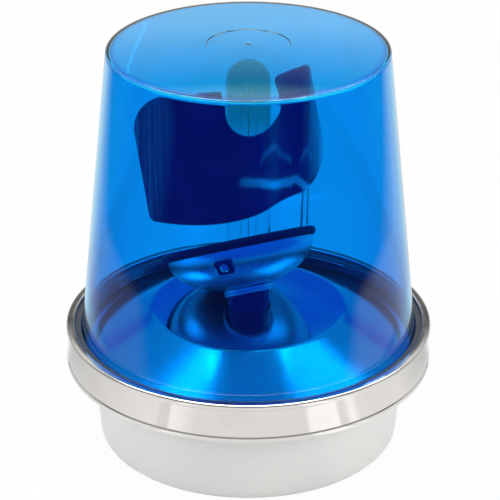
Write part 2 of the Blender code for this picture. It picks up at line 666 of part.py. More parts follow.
def make_gears():
    """The large gear on the sleeve, and the pinion and shaft that drive it."""
    gear_loops = [gear_outline(DRIVE_TEETH, 90), circle(CORE_HOLE_RADIUS, SMALL_STEPS)]
    root_radius = GEAR_MODULE * (DRIVE_TEETH / 2 - DEDENDUM_SHARE)
    web_radius = (SLEEVE_SHOULDER_RADIUS + root_radius) / 2
    window_radius = (root_radius - SLEEVE_SHOULDER_RADIUS) * GEAR_WINDOW_SHARE
    for i in range(GEAR_WINDOW_COUNT):
        gear_loops.append(circle(window_radius, GEAR_WINDOW_STEPS,
                                 polar(web_radius, 360 / GEAR_WINDOW_COUNT * i)))
    gear = flat_outline("drive_gear", gear_loops, DRIVE_GEAR_WIDTH, DRIVE_GEAR_HEIGHT)
    place(gear, "nylon")

    gap_phase = -90 + 180 / PINION_TEETH
    pinion_loops = [gear_outline(PINION_TEETH, gap_phase),
                    circle(SHAFT_RADIUS + SEAT_GAP, SMALL_STEPS)]
    pinion = flat_outline("drive_pinion", pinion_loops, DRIVE_GEAR_WIDTH - 2 * PINION_INSET,
                          DRIVE_GEAR_HEIGHT + PINION_INSET)
    pinion.location.y = MOTOR_AXIS
    place(pinion, "brass")
    shaft_bottom = MOTOR_TOP - SHAFT_SOCKET_DEPTH + RUNNING_GAP
    shaft = cylinder("motor_shaft", SHAFT_RADIUS, shaft_bottom, SHAFT_TOP, (0, MOTOR_AXIS))
    place(shaft, "plated_steel")


def make_socket():
    """The brass lamp socket, its insulator, contacts and screws."""
    bore = SOCKET_RADIUS - SOCKET_WALL
    top = SOCKET_BOTTOM + SOCKET_LENGTH
    outline = [(bore, top), (SOCKET_RADIUS, top), (SOCKET_RADIUS, SOCKET_FLANGE_TOP),
               (SOCKET_FLANGE_RADIUS, SOCKET_FLANGE_TOP), (SOCKET_FLANGE_RADIUS, SOCKET_BOTTOM),
               (bore, SOCKET_BOTTOM)]
    socket = turned("lamp_socket", outline, SMALL_STEPS)
    for at in SOCKET_SCREW_PLACES:
        hole = cylinder("flange_hole", SCREW_HOLE_RADIUS, SOCKET_BOTTOM - CUT_OVERRUN,
                        SOCKET_FLANGE_TOP + CUT_OVERRUN, at, SCREW_STEPS)
        combine(socket, hole, "DIFFERENCE")
    slot_low = LAMP_BOTTOM + LAMP_PIN_HEIGHT - LAMP_PIN_RADIUS - SEAT_GAP
    slot_half = LAMP_PIN_RADIUS + SEAT_GAP
    slot = box("bayonet_slot", (-SOCKET_RADIUS - CUT_OVERRUN, -slot_half, slot_low),
               (SOCKET_RADIUS + CUT_OVERRUN, slot_half, top + CUT_OVERRUN))
    combine(socket, slot, "DIFFERENCE")
    place(socket, "brass")
    for i, at in enumerate(SOCKET_SCREW_PLACES):
        screw(f"socket_screw_{i + 1}", at, SOCKET_FLANGE_TOP + SEAT_GAP, SOCKET_SCREW_LENGTH)

    loops = [circle(bore - SEAT_GAP, SMALL_STEPS)]
    for at in CONTACT_PLACES:
        loops.append(circle(CONTACT_RADIUS + SEAT_GAP, SCREW_STEPS, at))
    disc_low = LAMP_BOTTOM - CONTACT_REACH - INSULATOR_THICKNESS
    place(flat_outline("socket_insulator", loops, INSULATOR_THICKNESS, disc_low), "black_plastic")
    for i, at in enumerate(CONTACT_PLACES):
        contact = cylinder(f"socket_contact_{i + 1}", CONTACT_RADIUS, disc_low - CONTACT_TAIL,
                           LAMP_BOTTOM - SEAT_GAP, at, SCREW_STEPS)
        place(contact, "brass")


def lamp_profile(inset):
    """The lamp's wall from its round tip down to its neck, drawn in by a wall's thickness."""
    radius = LAMP_RADIUS - inset
    neck = LAMP_NECK_RADIUS - inset
    tip = arc(0, LAMP_TIP_HEIGHT - LAMP_RADIUS, radius, 90, 0, LAMP_TIP_STEPS)
    neck_top = LAMP_BASE_TOP
    points = list(tip)
    for step in range(LAMP_NECK_STEPS + 1):
        share = step / LAMP_NECK_STEPS
        blend = (1 - math.cos(math.pi * share)) / 2
        points.append((radius + (neck - radius) * blend,
                       LAMP_SHOULDER_HEIGHT + (neck_top - LAMP_SHOULDER_HEIGHT) * share))
    points.append((neck, LAMP_BASE_TOP - LAMP_NECK_REACH))
    return points


def make_lamp():
    """The glass envelope, its bayonet base, stem, support wires and filament."""
    outer = lamp_profile(0)
    inner = lamp_profile(LAMP_WALL)
    glass = turned("lamp_glass", [*outer, *reversed(inner)], SMALL_STEPS, closed=False)
    place(glass, "clear_glass")

    shell_bore = LAMP_BASE_RADIUS - LAMP_BASE_WALL
    floor = LAMP_BOTTOM + LAMP_CONTACT_THICKNESS
    outline = [(0, floor), (shell_bore - LAMP_CONTACT_THICKNESS, floor),
               (shell_bore - LAMP_CONTACT_THICKNESS, LAMP_BASE_TOP - LAMP_NECK_REACH - SEAT_GAP),
               (LAMP_NECK_RADIUS + SEAT_GAP, LAMP_BASE_TOP - LAMP_NECK_REACH - SEAT_GAP),
               (LAMP_NECK_RADIUS + SEAT_GAP, LAMP_BASE_TOP), (LAMP_BASE_RADIUS, LAMP_BASE_TOP),
               (LAMP_BASE_RADIUS, LAMP_BOTTOM), (0, LAMP_BOTTOM)]
    shell = turned("lamp_base", outline, SMALL_STEPS, closed=False)
    pins = cylinder("bayonet_pins", LAMP_PIN_RADIUS, -LAMP_BASE_RADIUS - LAMP_PIN_REACH,
                    LAMP_BASE_RADIUS + LAMP_PIN_REACH, steps=SCREW_STEPS)
    pins.matrix_world = (Matrix.Translation((0, 0, LAMP_BOTTOM + LAMP_PIN_HEIGHT))
                         @ Matrix.Rotation(math.pi / 2, 4, "Y"))
    combine(shell, pins, "UNION")
    inside = cylinder("base_inside", shell_bore - LAMP_CONTACT_THICKNESS, floor,
                      LAMP_BASE_TOP + CUT_OVERRUN)
    combine(shell, inside, "DIFFERENCE")
    place(shell, "brass")

    foot = LAMP_BASE_TOP - LAMP_NECK_REACH
    stem_top = foot + STEM_LENGTH
    outline = [*arc(0, stem_top - STEM_RADIUS, STEM_RADIUS, 90, 0, 4),
               (STEM_RADIUS, foot + STEM_FOOT_LENGTH), (STEM_FOOT_RADIUS, foot), (0, foot)]
    place(turned("lamp_stem", outline, 24, closed=False), "clear_glass")

    wire_foot = stem_top + SEAT_GAP
    coil_top = LAMP_TIP_HEIGHT - FILAMENT_TOP_INSET
    support = wire("support_wire", [(0, 0, wire_foot), (0, 0, coil_top + FILAMENT_SPREAD)],
                   SUPPORT_WIRE_RADIUS)
    place(support, "plated_steel")
    hairpin = [(-FILAMENT_SPREAD, 0, wire_foot)]
    for step in range(FILAMENT_STEPS + 1):
        angle = math.pi * (1 - step / FILAMENT_STEPS)
        hairpin.append((FILAMENT_SPREAD * math.cos(angle), FILAMENT_OFFSET * math.sin(angle),
                        coil_top + FILAMENT_SPREAD * math.sin(angle)))
    hairpin.append((FILAMENT_SPREAD, 0, wire_foot))
    place(wire("filament", hairpin, FILAMENT_RADIUS), "tungsten")


def bowl_frame():
    """The place and tilt of the lower reflector: its own Z leaves its mouth, zero at its rim."""
    turn = Matrix.Rotation(math.radians(BOWL_TURN), 4, "Z")
    tilt = Matrix.Rotation(math.radians(BOWL_TILT), 4, "Y")
    pole = Matrix.Translation((0, 0, BOWL_POLE_HEIGHT))
    return pole @ turn @ tilt @ Matrix.Translation((0, 0, BOWL_DEPTH))


def bowl_arc(inset):
    """The bowl's oval section, drawn in by an inset, from the rim down to its pole."""
    return [((BOWL_RIM_RADIUS - inset) * x, (BOWL_DEPTH - inset) * z)
            for x, z in arc(0, 0, 1, 0, -90, BOWL_ARC_STEPS)]


def make_lower_reflector():
    """A tilted bowl with a rolled rim and a hole that the sleeve passes through."""
    inner = bowl_arc(BOWL_SHEET)
    outer = bowl_arc(0)
    bead = arc(BOWL_RIM_RADIUS, BOWL_BEAD_RADIUS, BOWL_BEAD_RADIUS, 215, -90, BOWL_BEAD_STEPS)
    bowl = turned("lower_reflector", [*reversed(inner), *bead, *outer[1:]], BOWL_STEPS, closed=False)
    bowl.matrix_world = bowl_frame()
    core = cylinder("bowl_core", CORE_HOLE_RADIUS, BOWL_POLE_HEIGHT - BOWL_DEPTH,
                    BOWL_POLE_HEIGHT + BOWL_DEPTH)
    combine(bowl, core, "DIFFERENCE")
    place(bowl, "bright_bowl")


def bowl_ball(name, gap):
    """A closed shape a gap larger than the lower reflector's outside, for what seats on it."""
    mesh = bpy.data.meshes.new(name)
    shape = bmesh.new()
    bmesh.ops.create_uvsphere(shape, u_segments=64, v_segments=32, radius=1)
    size = (BOWL_RIM_RADIUS + gap, BOWL_RIM_RADIUS + gap, BOWL_DEPTH + gap)
    bmesh.ops.scale(shape, verts=shape.verts, vec=size)
    shape.to_mesh(mesh)
    shape.free()
    ball = bpy.data.objects.new(name, mesh)
    bpy.context.scene.collection.objects.link(ball)
    ball.matrix_world = bowl_frame()
    return ball


def make_sleeve():
    """The turning sleeve: a shoulder under the gear and a tilted collar under the bowl."""
    shoulder_top = DRIVE_GEAR_HEIGHT - SEAT_GAP
    shoulder_low = shoulder_top - SLEEVE_SHOULDER_THICKNESS
    tube = turned("rotor_sleeve", [
        (SLEEVE_BORE, SLEEVE_TOP_HEIGHT), (SLEEVE_RADIUS, SLEEVE_TOP_HEIGHT),
        (SLEEVE_RADIUS, shoulder_top), (SLEEVE_SHOULDER_RADIUS, shoulder_top),
        (SLEEVE_SHOULDER_RADIUS, shoulder_low), (SLEEVE_RADIUS, shoulder_low),
        (SLEEVE_RADIUS, SLEEVE_BOTTOM), (SLEEVE_BORE, SLEEVE_BOTTOM)], SMALL_STEPS)
    collar = cylinder("sleeve_collar", COLLAR_RADIUS, -BOWL_DEPTH - COLLAR_DROP,
                      -BOWL_DEPTH + COLLAR_RISE)
    collar.matrix_world = bowl_frame()
    combine(collar, bowl_ball("collar_ball", SEAT_GAP), "DIFFERENCE")
    bore = cylinder("collar_bore", SLEEVE_RADIUS - SEAT_GAP, SLEEVE_BOTTOM, LAMP_SHOULDER_HEIGHT)
    combine(collar, bore, "DIFFERENCE")
    combine(tube, collar, "UNION")
    place(tube, "bright_bowl")
    washer_low = SOCKET_FLANGE_TOP + SEAT_GAP
    washer_top = washer_low + WASHER_THICKNESS
    washer = turned("thrust_washer", [(SLEEVE_BORE, washer_top), (WASHER_RADIUS, washer_top),
                                      (WASHER_RADIUS, washer_low), (SLEEVE_BORE, washer_low)],
                    SMALL_STEPS)
    place(washer, "nylon")


def hood_plan():
    """The hood's middle line seen from above, moved until it clears the lamp."""
    corners = [(-HOOD_LEFT + x * HOOD_WIDTH, -HOOD_FRONT + y * HOOD_DEPTH, 0)
               for x, y in HOOD_PLAN_SHARES]
    path = smooth_path(corners, HOOD_PLAN_STEPS)
    nearest = min(path, key=lambda point: point.length)
    clear = LAMP_RADIUS + HOOD_LAMP_GAP + HOOD_SHEET / 2
    shift = nearest.normalized() * max(0, clear - nearest.length)
    return [point + shift for point in path]


def hood_back(path, x, out):
    """How far back a point lies that stands off the hood's middle line, at a place across its front."""
    for start, end in zip(path, path[1:]):
        if start.x <= x <= end.x:
            slope = (end.y - start.y) / (end.x - start.x)
            middle = start.y + slope * (x - start.x)
            return middle + out * math.sqrt(1 + slope ** 2)
    return path[0].y + out


def rounded(corners, steps):
    """A closed outline from (x, y, radius) corners, each corner rounded by its radius."""
    outline = []
    for i, (x, y, radius) in enumerate(corners):
        here = Vector((x, y))
        before = Vector(corners[i - 1][:2]) - here
        after = Vector(corners[(i + 1) % len(corners)][:2]) - here
        if radius == 0:
            outline.append(here)
            continue
        half = before.angle(after) / 2
        reach = radius / math.tan(half)
        start = here + before.normalized() * reach
        end = here + after.normalized() * reach
        centre = here + (before.normalized() + after.normalized()).normalized() * (
            radius / math.sin(half))
        first = start - centre
        sweep = first.angle_signed(end - centre)
        for step in range(steps + 1):
            turn = Matrix.Rotation(-sweep * step / steps, 2)
            outline.append(centre + turn @ first)
    return outline


def make_hood():
    """The upper reflector: a bent sheet trimmed to its front outline, with a notch for the lamp."""
    path = hood_plan()
    curve = bpy.data.curves.new("upper_reflector", "CURVE")
    curve.dimensions = "2D"
    curve.extrude = HOOD_HEIGHT / 2 + CUT_OVERRUN
    spline = curve.splines.new("POLY")
    spline.points.add(len(path) - 1)
    for point, spot in zip(spline.points, path):
        point.co = (spot.x, spot.y, 0, 1)
    ribbon = bpy.data.objects.new("upper_reflector", curve)
    bpy.context.scene.collection.objects.link(ribbon)
    ribbon.location.z = HOOD_BOTTOM_HEIGHT + HOOD_HEIGHT / 2
    hood = as_mesh(ribbon)
    sheet = hood.modifiers.new("sheet", "SOLIDIFY")
    sheet.thickness = HOOD_SHEET
    sheet.offset = 0

    left = path[0].x
    right = path[-1].x - HOOD_SHEET
    low = HOOD_BOTTOM_HEIGHT
    top = HOOD_TOP_HEIGHT
    notch_low = top - NOTCH_DEPTH
    notch_width = NOTCH_LEFT + NOTCH_RIGHT
    top_left = (-NOTCH_LEFT - NOTCH_LEFT_FLARE - left) * HOOD_TOP_LEFT_SHARE
    right_top = top - HOOD_RIGHT_DROP
    corners = [
        (left + HOOD_LEFT_SLANT, low, HOOD_BOTTOM_LEFT_RADIUS),
        (right, low, HOOD_BOTTOM_RIGHT_RADIUS),
        (right, top - HOOD_HEIGHT * HOOD_RIGHT_SLANT_SHARE, HOOD_RIGHT_BEND_RADIUS),
        (right - HOOD_RIGHT_SLANT, right_top, HOOD_RIGHT_TOP_RADIUS),
        (NOTCH_RIGHT - NOTCH_RIGHT_FLARE, right_top, NOTCH_LIP_RADIUS),
        (NOTCH_RIGHT, right_top - NOTCH_RIGHT_FLARE_DROP, NOTCH_FLARE_RADIUS),
        (NOTCH_RIGHT, notch_low, notch_width * NOTCH_RIGHT_RADIUS_SHARE),
        (-NOTCH_LEFT, notch_low, notch_width * NOTCH_LEFT_RADIUS_SHARE),
        (-NOTCH_LEFT, top - NOTCH_LEFT_FLARE_DROP, NOTCH_FLARE_RADIUS),
        (-NOTCH_LEFT - NOTCH_LEFT_FLARE, top, NOTCH_LIP_RADIUS),
        (left, top, top_left),
        (left, top - top_left * HOOD_SLANT_START_SHARE, 0),
    ]
    outline = [(point.x, point.y) for point in rounded(corners, HOOD_CORNER_STEPS)]
    prism = flat_outline("hood_outline", [outline], HOOD_LEFT + HOOD_WIDTH, 0)
    prism.matrix_world = Matrix.Rotation(math.pi / 2, 4, "X")
    combine(hood, prism, "INTERSECT")
    place(hood, "dark_gloss")

    frame = bowl_frame()
    for i, angle in enumerate(LEG_ANGLES):
        local = (frame.inverted().to_3x3() @ Vector((*polar(1, angle), 0)))
        around = math.atan2(local.y, local.x)
        foot = frame @ Vector((BOWL_RIM_RADIUS * math.cos(around), BOWL_RIM_RADIUS * math.sin(around),
                               2 * BOWL_BEAD_RADIUS + SEAT_GAP + LEG_RADIUS))
        behind = hood_back(path, foot.x, HOOD_SHEET / 2 + SEAT_GAP + LEG_RADIUS)
        joint = Vector((foot.x, behind, HOOD_BOTTOM_HEIGHT - SEAT_GAP))
        end = Vector((foot.x, behind, HOOD_BOTTOM_HEIGHT + LEG_OVERLAP))
        place(wire(f"hood_leg_{i + 1}", [foot, joint, end], LEG_RADIUS), "polished_steel")


def make_clip():
    """The small clip riveted to the front of the lower reflector."""
    frame = bowl_frame()
    heading = frame.inverted().to_3x3() @ Vector((*polar(1, CLIP_AROUND), 0))
    side = Vector((heading.x, heading.y, 0)).normalized()
    reach = BOWL_RIM_RADIUS * math.sqrt(1 - (CLIP_DROP / BOWL_DEPTH) ** 2)
    facing = side * (reach / BOWL_RIM_RADIUS ** 2) - Vector((0, 0, CLIP_DROP / BOWL_DEPTH ** 2))
    spot = frame @ Matrix.Translation(side * reach - Vector((0, 0, CLIP_DROP)))
    spot = spot @ facing.to_track_quat("Z", "Y").to_matrix().to_4x4()
    low = -CLIP_THICKNESS
    high = CLIP_THICKNESS
    clip = box("reflector_clip", (-CLIP_WIDTH / 2, -CLIP_HEIGHT / 2, low),
               (CLIP_WIDTH / 2, CLIP_HEIGHT / 2, high))
    clip.matrix_world = spot
    combine(clip, bowl_ball("clip_ball", SEAT_GAP), "DIFFERENCE")
    hole = cylinder("clip_hole", RIVET_RADIUS + SEAT_GAP, low - CUT_OVERRUN, high + CUT_OVERRUN,
                    steps=SCREW_STEPS)
    hole.matrix_world = spot
    combine(clip, hole, "DIFFERENCE")
    place(clip, "dark_gloss")
    bowl = bpy.data.objects["lower_reflector"]
    bowl_hole = cylinder("rivet_hole", RIVET_RADIUS + SEAT_GAP, low - BOWL_SHEET,
                         high + CUT_OVERRUN, steps=SCREW_STEPS)
    bowl_hole.matrix_world = spot
    combine(bowl, bowl_hole, "DIFFERENCE")
    head = high + SEAT_GAP
    tail = -BOWL_SHEET - SEAT_GAP
    rivet = turned("clip_rivet", [
        (0, head + RIVET_HEAD_HEIGHT), (RIVET_HEAD_RADIUS - SEAT_GAP, head + RIVET_HEAD_HEIGHT),
        (RIVET_HEAD_RADIUS, head), (RIVET_RADIUS, head), (RIVET_RADIUS, tail - RIVET_HEAD_HEIGHT),
        (0, tail - RIVET_HEAD_HEIGHT)], SCREW_STEPS, closed=False)
    rivet.matrix_world = spot
    place(rivet, "polished_steel")


def make_deck():
    """The bright cover: a flat top, a conical skirt and a foot held under the dome."""
    foot_low = BASE_HEIGHT + SEAT_GAP
    foot_top = foot_low + DECK_THICKNESS
    hole = SLEEVE_RADIUS + DECK_HOLE_GAP
    top = DECK_TOP_HEIGHT
    under = top - DECK_THICKNESS
    skirt = Vector((DECK_SKIRT_RADIUS - DECK_TOP_RADIUS, foot_top - top))
    side = Vector((-skirt.y, skirt.x)).normalized() * DECK_THICKNESS
    edge = arc(DECK_TOP_RADIUS - DECK_EDGE_RADIUS, top - DECK_EDGE_RADIUS, DECK_EDGE_RADIUS, 90,
               90 + math.degrees(math.atan2(skirt.y, skirt.x)), DECK_EDGE_STEPS)
    outline = [(hole, top), *edge,
               (DECK_SKIRT_RADIUS, foot_top), (DECK_FOOT_RADIUS, foot_top),
               (DECK_FOOT_RADIUS, foot_low), (DECK_SKIRT_RADIUS - side.x, foot_low),
               (DECK_TOP_RADIUS - side.x, under), (hole, under)]
    place(turned("deck_cover", outline), "bright_deck")


def dome_radius(height):
    """The dome wall's outer radius at a height."""
    share = (height - RING_TOP) / (DOME_TOP - RING_TOP)
    return DOME_FOOT_WALL_RADIUS + (DOME_TOP_RADIUS - DOME_FOOT_WALL_RADIUS) * share


def crown_line(height, reach, start, end, steps):
    """The domed top's line between two radii: its rise falls with the radius squared."""
    radii = [start + (end - start) * step / steps for step in range(steps + 1)]
    return [(radius, height + DOME_CROWN * (1 - (radius / reach) ** 2)) for radius in radii]


def make_dome():
    """The blue dome: a low crowned top with a round mark, a tapering wall and a foot flange."""
    lean = math.degrees(math.atan2(DOME_FOOT_WALL_RADIUS - DOME_TOP_RADIUS, DOME_TOP - RING_TOP))
    inner_top = DOME_TOP - DOME_WALL
    reach = DOME_TOP_RADIUS - DOME_EDGE_RADIUS
    inner_reach = dome_radius(inner_top) - DOME_WALL - DOME_INNER_EDGE_RADIUS
    mark = crown_line(DOME_TOP - DOME_MARK_DEPTH, reach, 0, DOME_MARK_RADIUS - DOME_MARK_DEPTH, 1)
    crown = crown_line(DOME_TOP, reach, DOME_MARK_RADIUS, reach, DOME_CROWN_STEPS)
    edge = arc(reach, DOME_TOP - DOME_EDGE_RADIUS, DOME_EDGE_RADIUS, 90, lean, DOME_EDGE_STEPS)
    inner_edge = arc(inner_reach, inner_top - DOME_INNER_EDGE_RADIUS, DOME_INNER_EDGE_RADIUS,
                     lean, 90, DOME_EDGE_STEPS)
    inner_crown = crown_line(inner_top, inner_reach, inner_reach, 0, DOME_CROWN_STEPS)
    outline = [*mark, *crown, *edge[1:],
               (dome_radius(DOME_FLANGE_TOP), DOME_FLANGE_TOP),
               (DOME_FLANGE_RADIUS, DOME_FLANGE_TOP), (DOME_FLANGE_RADIUS, DOME_BOTTOM),
               (dome_radius(DOME_BOTTOM) - DOME_WALL, DOME_BOTTOM), *inner_edge, *inner_crown[1:]]
    place(turned("dome", outline, closed=False), "blue_dome")

    web = DOME_FLANGE_RADIUS + SEAT_GAP
    leg_low = GASKET_BOTTOM + GASKET_LEG
    leg_high = GASKET_TOP - GASKET_LEG
    gasket = turned("dome_gasket", [
        (GASKET_LIP_INNER_RADIUS, GASKET_TOP), (GASKET_RADIUS, GASKET_TOP),
        (GASKET_RADIUS, GASKET_BOTTOM), (GASKET_LIP_INNER_RADIUS, GASKET_BOTTOM),
        (GASKET_LIP_INNER_RADIUS, leg_low), (web, leg_low), (web, leg_high),
        (GASKET_LIP_INNER_RADIUS, leg_high)])
    place(gasket, "dark_rubber")


def make_ring():
    """The split clamp ring with its two lugs, screw and nut."""
    outer = RING_BAND_RADIUS + RING_BEAD_REACH
    bead_in = outer - RING_BEAD_RADIUS
    lip_low = RING_TOP - RING_LIP_THICKNESS
    drop = math.degrees(math.acos((RING_BAND_RADIUS - bead_in) / RING_BEAD_RADIUS))
    upper = arc(bead_in, RING_TOP - RING_BEAD_RADIUS, RING_BEAD_RADIUS, 90, -drop, RING_BEAD_STEPS)
    lower = arc(bead_in, RING_BOTTOM + RING_BEAD_RADIUS, RING_BEAD_RADIUS, drop, -90, RING_BEAD_STEPS)
    outline = [(RING_LIP_INNER_RADIUS, RING_TOP), *upper, *lower,
               (RING_INNER_RADIUS, RING_BOTTOM), (RING_INNER_RADIUS, lip_low),
               (RING_LIP_INNER_RADIUS, lip_low)]
    ring = turned("clamp_ring", outline)
    lug_low = RING_BOTTOM + LUG_RAISE
    lug_mid = lug_low + LUG_HEIGHT / 2
    lug_out = outer + LUG_REACH
    screw_at = outer + LUG_REACH / 2
    for side in (-1, 1):
        faces = sorted((side * RING_SPLIT / 2, side * (RING_SPLIT / 2 + LUG_THICKNESS)))
        lug = box("lug", (faces[0], RING_INNER_RADIUS, lug_low),
                  (faces[1], lug_out, lug_low + LUG_HEIGHT))
        combine(ring, lug, "UNION")
    split = box("ring_split", (-RING_SPLIT / 2, RING_LIP_INNER_RADIUS - CUT_OVERRUN,
                               RING_BOTTOM - CUT_OVERRUN),
                (RING_SPLIT / 2, lug_out + CUT_OVERRUN, RING_TOP + CUT_OVERRUN))
    combine(ring, split, "DIFFERENCE")
    across = Matrix.Rotation(math.pi / 2, 4, "Y")
    at = Matrix.Translation((0, screw_at, lug_mid)) @ across
    half = RING_SPLIT / 2 + LUG_THICKNESS
    hole = cylinder("lug_hole", CLAMP_SCREW_RADIUS + SEAT_GAP, -half - CUT_OVERRUN,
                    half + CUT_OVERRUN, steps=SCREW_STEPS)
    hole.matrix_world = at
    combine(ring, hole, "DIFFERENCE")
    place(ring, "polished_steel")

    head = half + SEAT_GAP
    tail = -half - CLAMP_SCREW_TAIL
    bolt = turned("clamp_screw", [
        (0, head + CLAMP_SCREW_HEAD_HEIGHT), (CLAMP_SCREW_HEAD_RADIUS, head + CLAMP_SCREW_HEAD_HEIGHT),
        (CLAMP_SCREW_HEAD_RADIUS, head), (CLAMP_SCREW_RADIUS, head), (CLAMP_SCREW_RADIUS, tail),
        (0, tail)], 16, closed=False)
    bolt.matrix_world = at
    slot = box("clamp_slot", (-SCREW_SLOT_WIDTH / 2, -CLAMP_SCREW_HEAD_RADIUS - CUT_OVERRUN,
                              head + CLAMP_SCREW_HEAD_HEIGHT - SCREW_SLOT_DEPTH),
               (SCREW_SLOT_WIDTH / 2, CLAMP_SCREW_HEAD_RADIUS + CUT_OVERRUN,
                head + CLAMP_SCREW_HEAD_HEIGHT + CUT_OVERRUN))
    slot.matrix_world = at @ Matrix.Translation(slot.location)
    combine(bolt, slot, "DIFFERENCE")
    place(bolt, "plated_steel")
    nut_high = -half - SEAT_GAP
    size = CLAMP_NUT_SIZE / 2
    nut = box("clamp_nut", (-size, -size, nut_high - CLAMP_NUT_THICKNESS), (size, size, nut_high))
    nut.matrix_world = at @ Matrix.Translation(nut.location)
    nut_hole = cylinder("nut_hole", CLAMP_SCREW_RADIUS + SEAT_GAP, nut_high - 2 * CLAMP_NUT_THICKNESS,
                        half, steps=SCREW_STEPS)
    nut_hole.matrix_world = at
    combine(nut, nut_hole, "DIFFERENCE")
    place(nut, "plated_steel")


def make_wiring():
    """The terminal block, its screws, the earth screw and the leads between block, motor and lamp."""
    low = BASE_FLOOR + SEAT_GAP
    top = low + TERMINAL_HEIGHT
    block = box("terminal_block",
                (-TERMINAL_LENGTH / 2, -TERMINAL_REACH - TERMINAL_WIDTH / 2, low),
                (TERMINAL_LENGTH / 2, -TERMINAL_REACH + TERMINAL_WIDTH / 2, top))
    for i, at in enumerate(TERMINAL_PLACES):
        well = cylinder("terminal_well", TERMINAL_WELL_RADIUS, top - TERMINAL_WELL_DEPTH,
                        top + CUT_OVERRUN, at, SMALL_STEPS)
        combine(block, well, "DIFFERENCE")
        screw_low = top - TERMINAL_WELL_DEPTH + SEAT_GAP
        head = cylinder(f"terminal_screw_{i + 1}", TERMINAL_SCREW_RADIUS, screw_low,
                        screw_low + TERMINAL_SCREW_HEIGHT, at, SCREW_STEPS)
        place(head, "brass")
    place(block, "black_plastic")
    earth = cylinder("earth_screw", EARTH_SCREW_RADIUS, low, low + EARTH_SCREW_HEIGHT,
                     EARTH_SCREW_PLACE, 6)
    place(earth, "brass")

    block_face = -TERMINAL_REACH + TERMINAL_WIDTH / 2 + SEAT_GAP
    entry = low + LEAD_SIDE_ENTRY
    disc_low = LAMP_BOTTOM - CONTACT_REACH - INSULATOR_THICKNESS
    contact_end = disc_low - CONTACT_TAIL - SEAT_GAP
    motor_low = MOTOR_TOP - MOTOR_LENGTH
    motor_rise = (motor_low - low) / 2
    motor_run = low + motor_rise / 2
    for i, (side, contact) in enumerate(zip((-1, 1), CONTACT_PLACES)):
        route = [(side * LEAD_SPREAD / 2, block_face, entry),
                 (side * LEAD_SPREAD / 2, block_face + LEAD_RUN, entry),
                 (side * LEAD_SPREAD, -SOCKET_FLANGE_RADIUS / 2, (entry + contact_end) / 2),
                 (side * LEAD_SPREAD / 4, contact[1], contact_end - LEAD_DROP),
                 (*contact, contact_end)]
        lead = wire(f"lamp_lead_{i + 1}", smooth_path(route, 5), LEAD_RADIUS, 1)
        place(lead, "white_lead" if i else "black_lead")
    for i, side in enumerate((-1, 1)):
        route = [(side * LEAD_SPREAD, block_face, entry + LEAD_SIDE_ENTRY),
                 (side * MOTOR_LEAD_SPREAD, block_face + LEAD_RUN, entry),
                 (side * MOTOR_LEAD_SPREAD, 0, motor_run),
                 (side * LEAD_SPREAD, MOTOR_AXIS - LEAD_SPREAD, motor_run),
                 (side * LEAD_SPREAD / 2, MOTOR_AXIS, motor_low - SEAT_GAP - motor_rise),
                 (side * LEAD_SPREAD / 2, MOTOR_AXIS, motor_low - SEAT_GAP)]
        lead = wire(f"motor_lead_{i + 1}", smooth_path(route, 5), LEAD_RADIUS, 1)
        place(lead, "white_lead" if i else "black_lead")


def shade_round(limit):
    """Shades every piece smooth except at its sharp edges."""
    for obj in parts.objects:
        if obj.type == "MESH":
            obj.data.shade_smooth()
            obj.data.set_sharp_from_angle(angle=math.radians(limit))


make_base()
make_plate()
make_motor()
make_gears()
make_socket()
make_lamp()
make_lower_reflector()
make_sleeve()
make_hood()
make_clip()
make_deck()
make_dome()
make_ring()
make_wiring()
shade_round(35)
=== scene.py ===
# %% [markdown]
# A rotating beacon light. The CAD model comes in as a fixed frame, and each piece that shows is made
# again here with finer shapes and real finishes. Every length is in metres, +Z is up, and the origin is
# the centre of the base's underside.

import json
import math

import bmesh
import bpy
import numpy as np
from mathutils import Matrix, Vector


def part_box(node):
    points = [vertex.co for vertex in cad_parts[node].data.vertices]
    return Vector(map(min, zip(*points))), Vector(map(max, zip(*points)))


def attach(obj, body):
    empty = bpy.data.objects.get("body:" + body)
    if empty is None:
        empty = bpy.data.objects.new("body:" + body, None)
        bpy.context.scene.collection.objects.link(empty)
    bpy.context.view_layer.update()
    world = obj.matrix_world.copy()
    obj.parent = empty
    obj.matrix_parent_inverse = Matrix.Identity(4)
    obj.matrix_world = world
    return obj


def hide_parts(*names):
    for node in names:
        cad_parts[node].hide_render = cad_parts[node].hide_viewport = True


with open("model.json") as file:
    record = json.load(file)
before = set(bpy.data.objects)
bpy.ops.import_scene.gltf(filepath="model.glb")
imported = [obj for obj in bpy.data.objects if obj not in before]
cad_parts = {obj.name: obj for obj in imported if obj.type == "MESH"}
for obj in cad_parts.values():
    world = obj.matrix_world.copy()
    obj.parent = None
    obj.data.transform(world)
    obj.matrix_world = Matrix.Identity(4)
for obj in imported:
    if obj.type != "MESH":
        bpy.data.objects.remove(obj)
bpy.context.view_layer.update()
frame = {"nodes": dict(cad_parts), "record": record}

# %% [markdown]
# Most of this light is turned or spun, so its pieces are profiles carried round an axis. A mesh could be
# pulled out of Blender's Screw modifier, but a grid of points worked out with numpy gives exact control
# of every radius and is quick. Two helpers come first: one joins a grid's points with faces, and one puts
# them in a mesh.

# %% Grid helpers
SMOOTH_ANGLE = math.radians(38)
WELD = 1e-7


def grid_faces(rows, columns, loop_rows, loop_columns):
    """Quads that join each point (i, j) to (i+1, j), (i+1, j+1) and (i, j+1), as one whole array."""
    i = np.arange(rows if loop_rows else rows - 1)
    j = np.arange(columns if loop_columns else columns - 1)
    i, j = np.meshgrid(i, j, indexing="ij")
    down, along = (i + 1) % rows, (j + 1) % columns
    quads = [i * columns + j, down * columns + j, down * columns + along, i * columns + along]
    return np.stack(quads, -1).reshape(-1, 4)


